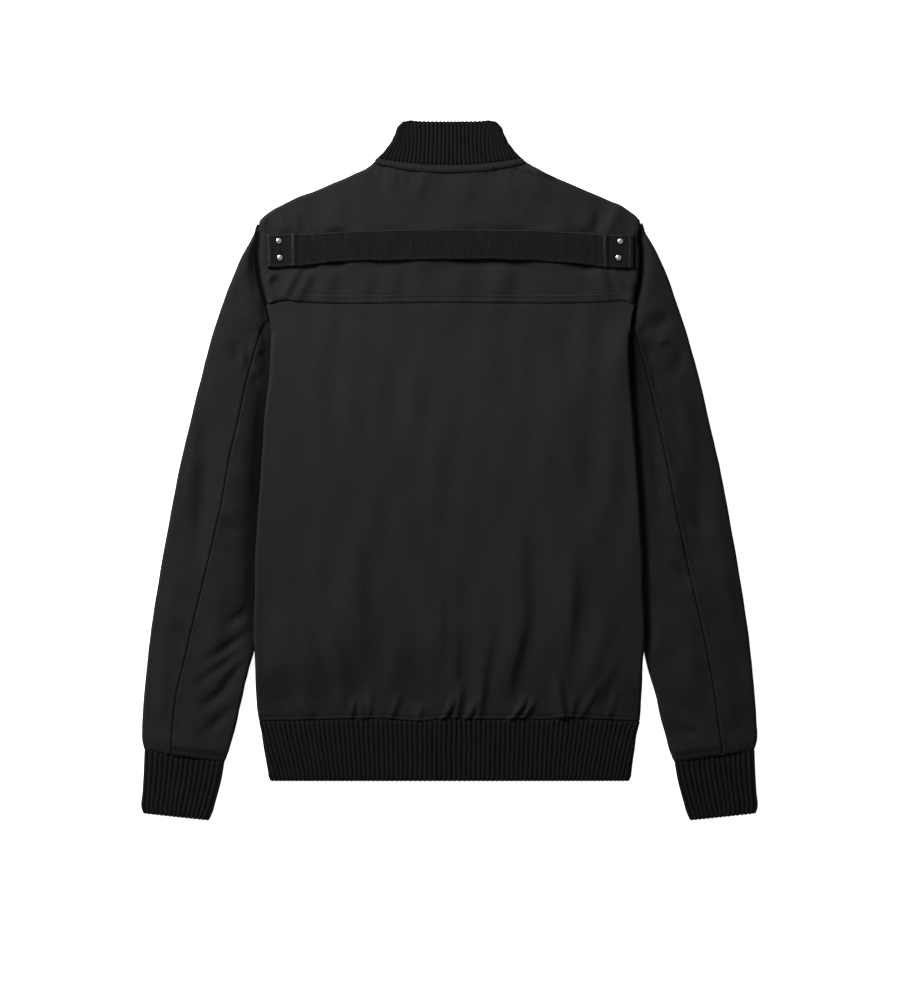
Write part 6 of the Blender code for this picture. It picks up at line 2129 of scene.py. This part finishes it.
def lights(studio):
    """Even light from all round and one soft lamp above the upper left of the jacket."""
    world = bpy.data.worlds.new("room")
    world.use_nodes = True
    background = world.node_tree.nodes["Background"]
    background.inputs["Color"].default_value = (1.0, 1.0, 1.0, 1.0)
    background.inputs["Strength"].default_value = studio.room_light
    bpy.context.scene.world = world
    lamp = bpy.data.lights.new("key_light", "AREA")
    lamp.shape = "SQUARE"
    lamp.size = studio.key_size
    lamp.energy = studio.key_power
    key = bpy.data.objects.new("key_light", lamp)
    key.location = KEY_PLACE
    direction = Vector((0.0, 0.0, 0.0)) - key.location
    key.rotation_euler = direction.to_track_quat("-Z", "Y").to_euler()
    bpy.context.scene.collection.objects.link(key)


def camera(studio):
    """Camera straight above the middle of the picture, framed as the photograph is."""
    data = bpy.data.cameras.new("camera")
    data.sensor_width = SENSOR
    data.sensor_fit = "AUTO"
    picture_height = PICTURE_HIGH * PICTURE_SCALE * MM
    distance = studio.camera_height - LAYERS * MM
    data.lens = SENSOR * distance / picture_height
    data.clip_end = 50.0
    made = bpy.data.objects.new("camera", data)
    made.location = (PICTURE_CENTRE[0] * MM, PICTURE_CENTRE[1] * MM, studio.camera_height)
    bpy.context.scene.collection.objects.link(made)
    bpy.context.scene.camera = made
    bpy.context.scene.view_settings.view_transform = "Standard"


class JACKET_OT_body(bpy.types.Operator):
    """Adds the back, the yoke and the fronts"""

    bl_idname = "jacket.body"
    bl_label = "Body"

    def execute(self, context):
        settings = context.scene.jacket_settings
        back_panel(settings)
        back_yoke(settings)
        for side, sign in SIDES:
            front(side, sign, settings)
        return {"FINISHED"}


class JACKET_OT_sleeves(bpy.types.Operator):
    """Adds the sleeves"""

    bl_idname = "jacket.sleeves"
    bl_label = "Sleeves"

    def execute(self, context):
        settings = context.scene.jacket_settings
        for side, _sign in SIDES:
            sleeve_upper(side, settings)
            sleeve_under(side, settings)
        return {"FINISHED"}


class JACKET_OT_neck(bpy.types.Operator):
    """Adds the neck band and the collar"""

    bl_idname = "jacket.neck"
    bl_label = "Neck band and collar"

    def execute(self, context):
        neck_band()
        collar()
        return {"FINISHED"}


class JACKET_OT_ribs(bpy.types.Operator):
    """Adds the hem rib and the cuffs"""

    bl_idname = "jacket.ribs"
    bl_label = "Hem rib and cuffs"

    def execute(self, context):
        hem_rib()
        for side, sign in SIDES:
            cuff(side, sign)
        return {"FINISHED"}


class JACKET_OT_strap(bpy.types.Operator):
    """Adds the strap, its turned-under ends and the rivets"""

    bl_idname = "jacket.strap"
    bl_label = "Strap and rivets"

    def execute(self, context):
        back_strap()
        for side, sign in SIDES:
            strap_end(side, sign)
        for name, x, y in RIVETS:
            rivet(name, x, y)
        return {"FINISHED"}


class JACKET_OT_zip(bpy.types.Operator):
    """Adds the zip: tapes, teeth, stops, slider and pull"""

    bl_idname = "jacket.zip"
    bl_label = "Zip"

    def execute(self, context):
        for side, sign in SIDES:
            zip_tape(side, sign)
        zip_teeth()
        zip_stops()
        zip_slider()
        zip_pull()
        return {"FINISHED"}


class JACKET_OT_stitches(bpy.types.Operator):
    """Adds every row of stitches"""

    bl_idname = "jacket.stitches"
    bl_label = "Stitches"

    def execute(self, context):
        settings = context.scene.jacket_settings
        body_stitches(settings)
        neck_stitches()
        cuff_stitches(settings)
        strap_stitches()
        return {"FINISHED"}


class JACKET_OT_studio(bpy.types.Operator):
    """Adds the floor, the lights and the camera"""

    bl_idname = "jacket.studio"
    bl_label = "Studio"

    def execute(self, context):
        studio = context.scene.jacket_studio
        floor(studio)
        lights(studio)
        camera(studio)
        return {"FINISHED"}


STEPS = (
    JACKET_OT_body, JACKET_OT_sleeves, JACKET_OT_neck, JACKET_OT_ribs, JACKET_OT_strap,
    JACKET_OT_zip, JACKET_OT_stitches, JACKET_OT_studio
)


class JACKET_PT_steps(bpy.types.Panel):
    """Lists the jacket's settings and steps."""

    bl_idname = "JACKET_PT_steps"
    bl_label = "Bomber jacket"
    bl_space_type = "VIEW_3D"
    bl_region_type = "UI"
    bl_category = "Jacket"

    def draw(self, context):
        layout = self.layout
        for group in (context.scene.jacket_settings, context.scene.jacket_studio):
            for name in group.__annotations__:
                layout.prop(group, name)
        for step in STEPS:
            layout.operator(step.bl_idname)


CLASSES = (JacketSettings, JacketStudio, *STEPS, JACKET_PT_steps)


def register():
    for one in CLASSES:
        bpy.utils.register_class(one)
    bpy.types.Scene.jacket_settings = bpy.props.PointerProperty(type=JacketSettings)
    bpy.types.Scene.jacket_studio = bpy.props.PointerProperty(type=JacketStudio)


def unregister():
    del bpy.types.Scene.jacket_studio
    del bpy.types.Scene.jacket_settings
    for one in reversed(CLASSES):
        bpy.utils.unregister_class(one)


def main():
    register()
    for step in STEPS:
        group, name = step.bl_idname.split(".")
        getattr(getattr(bpy.ops, group), name)()


if __name__ == "__main__":
    main()
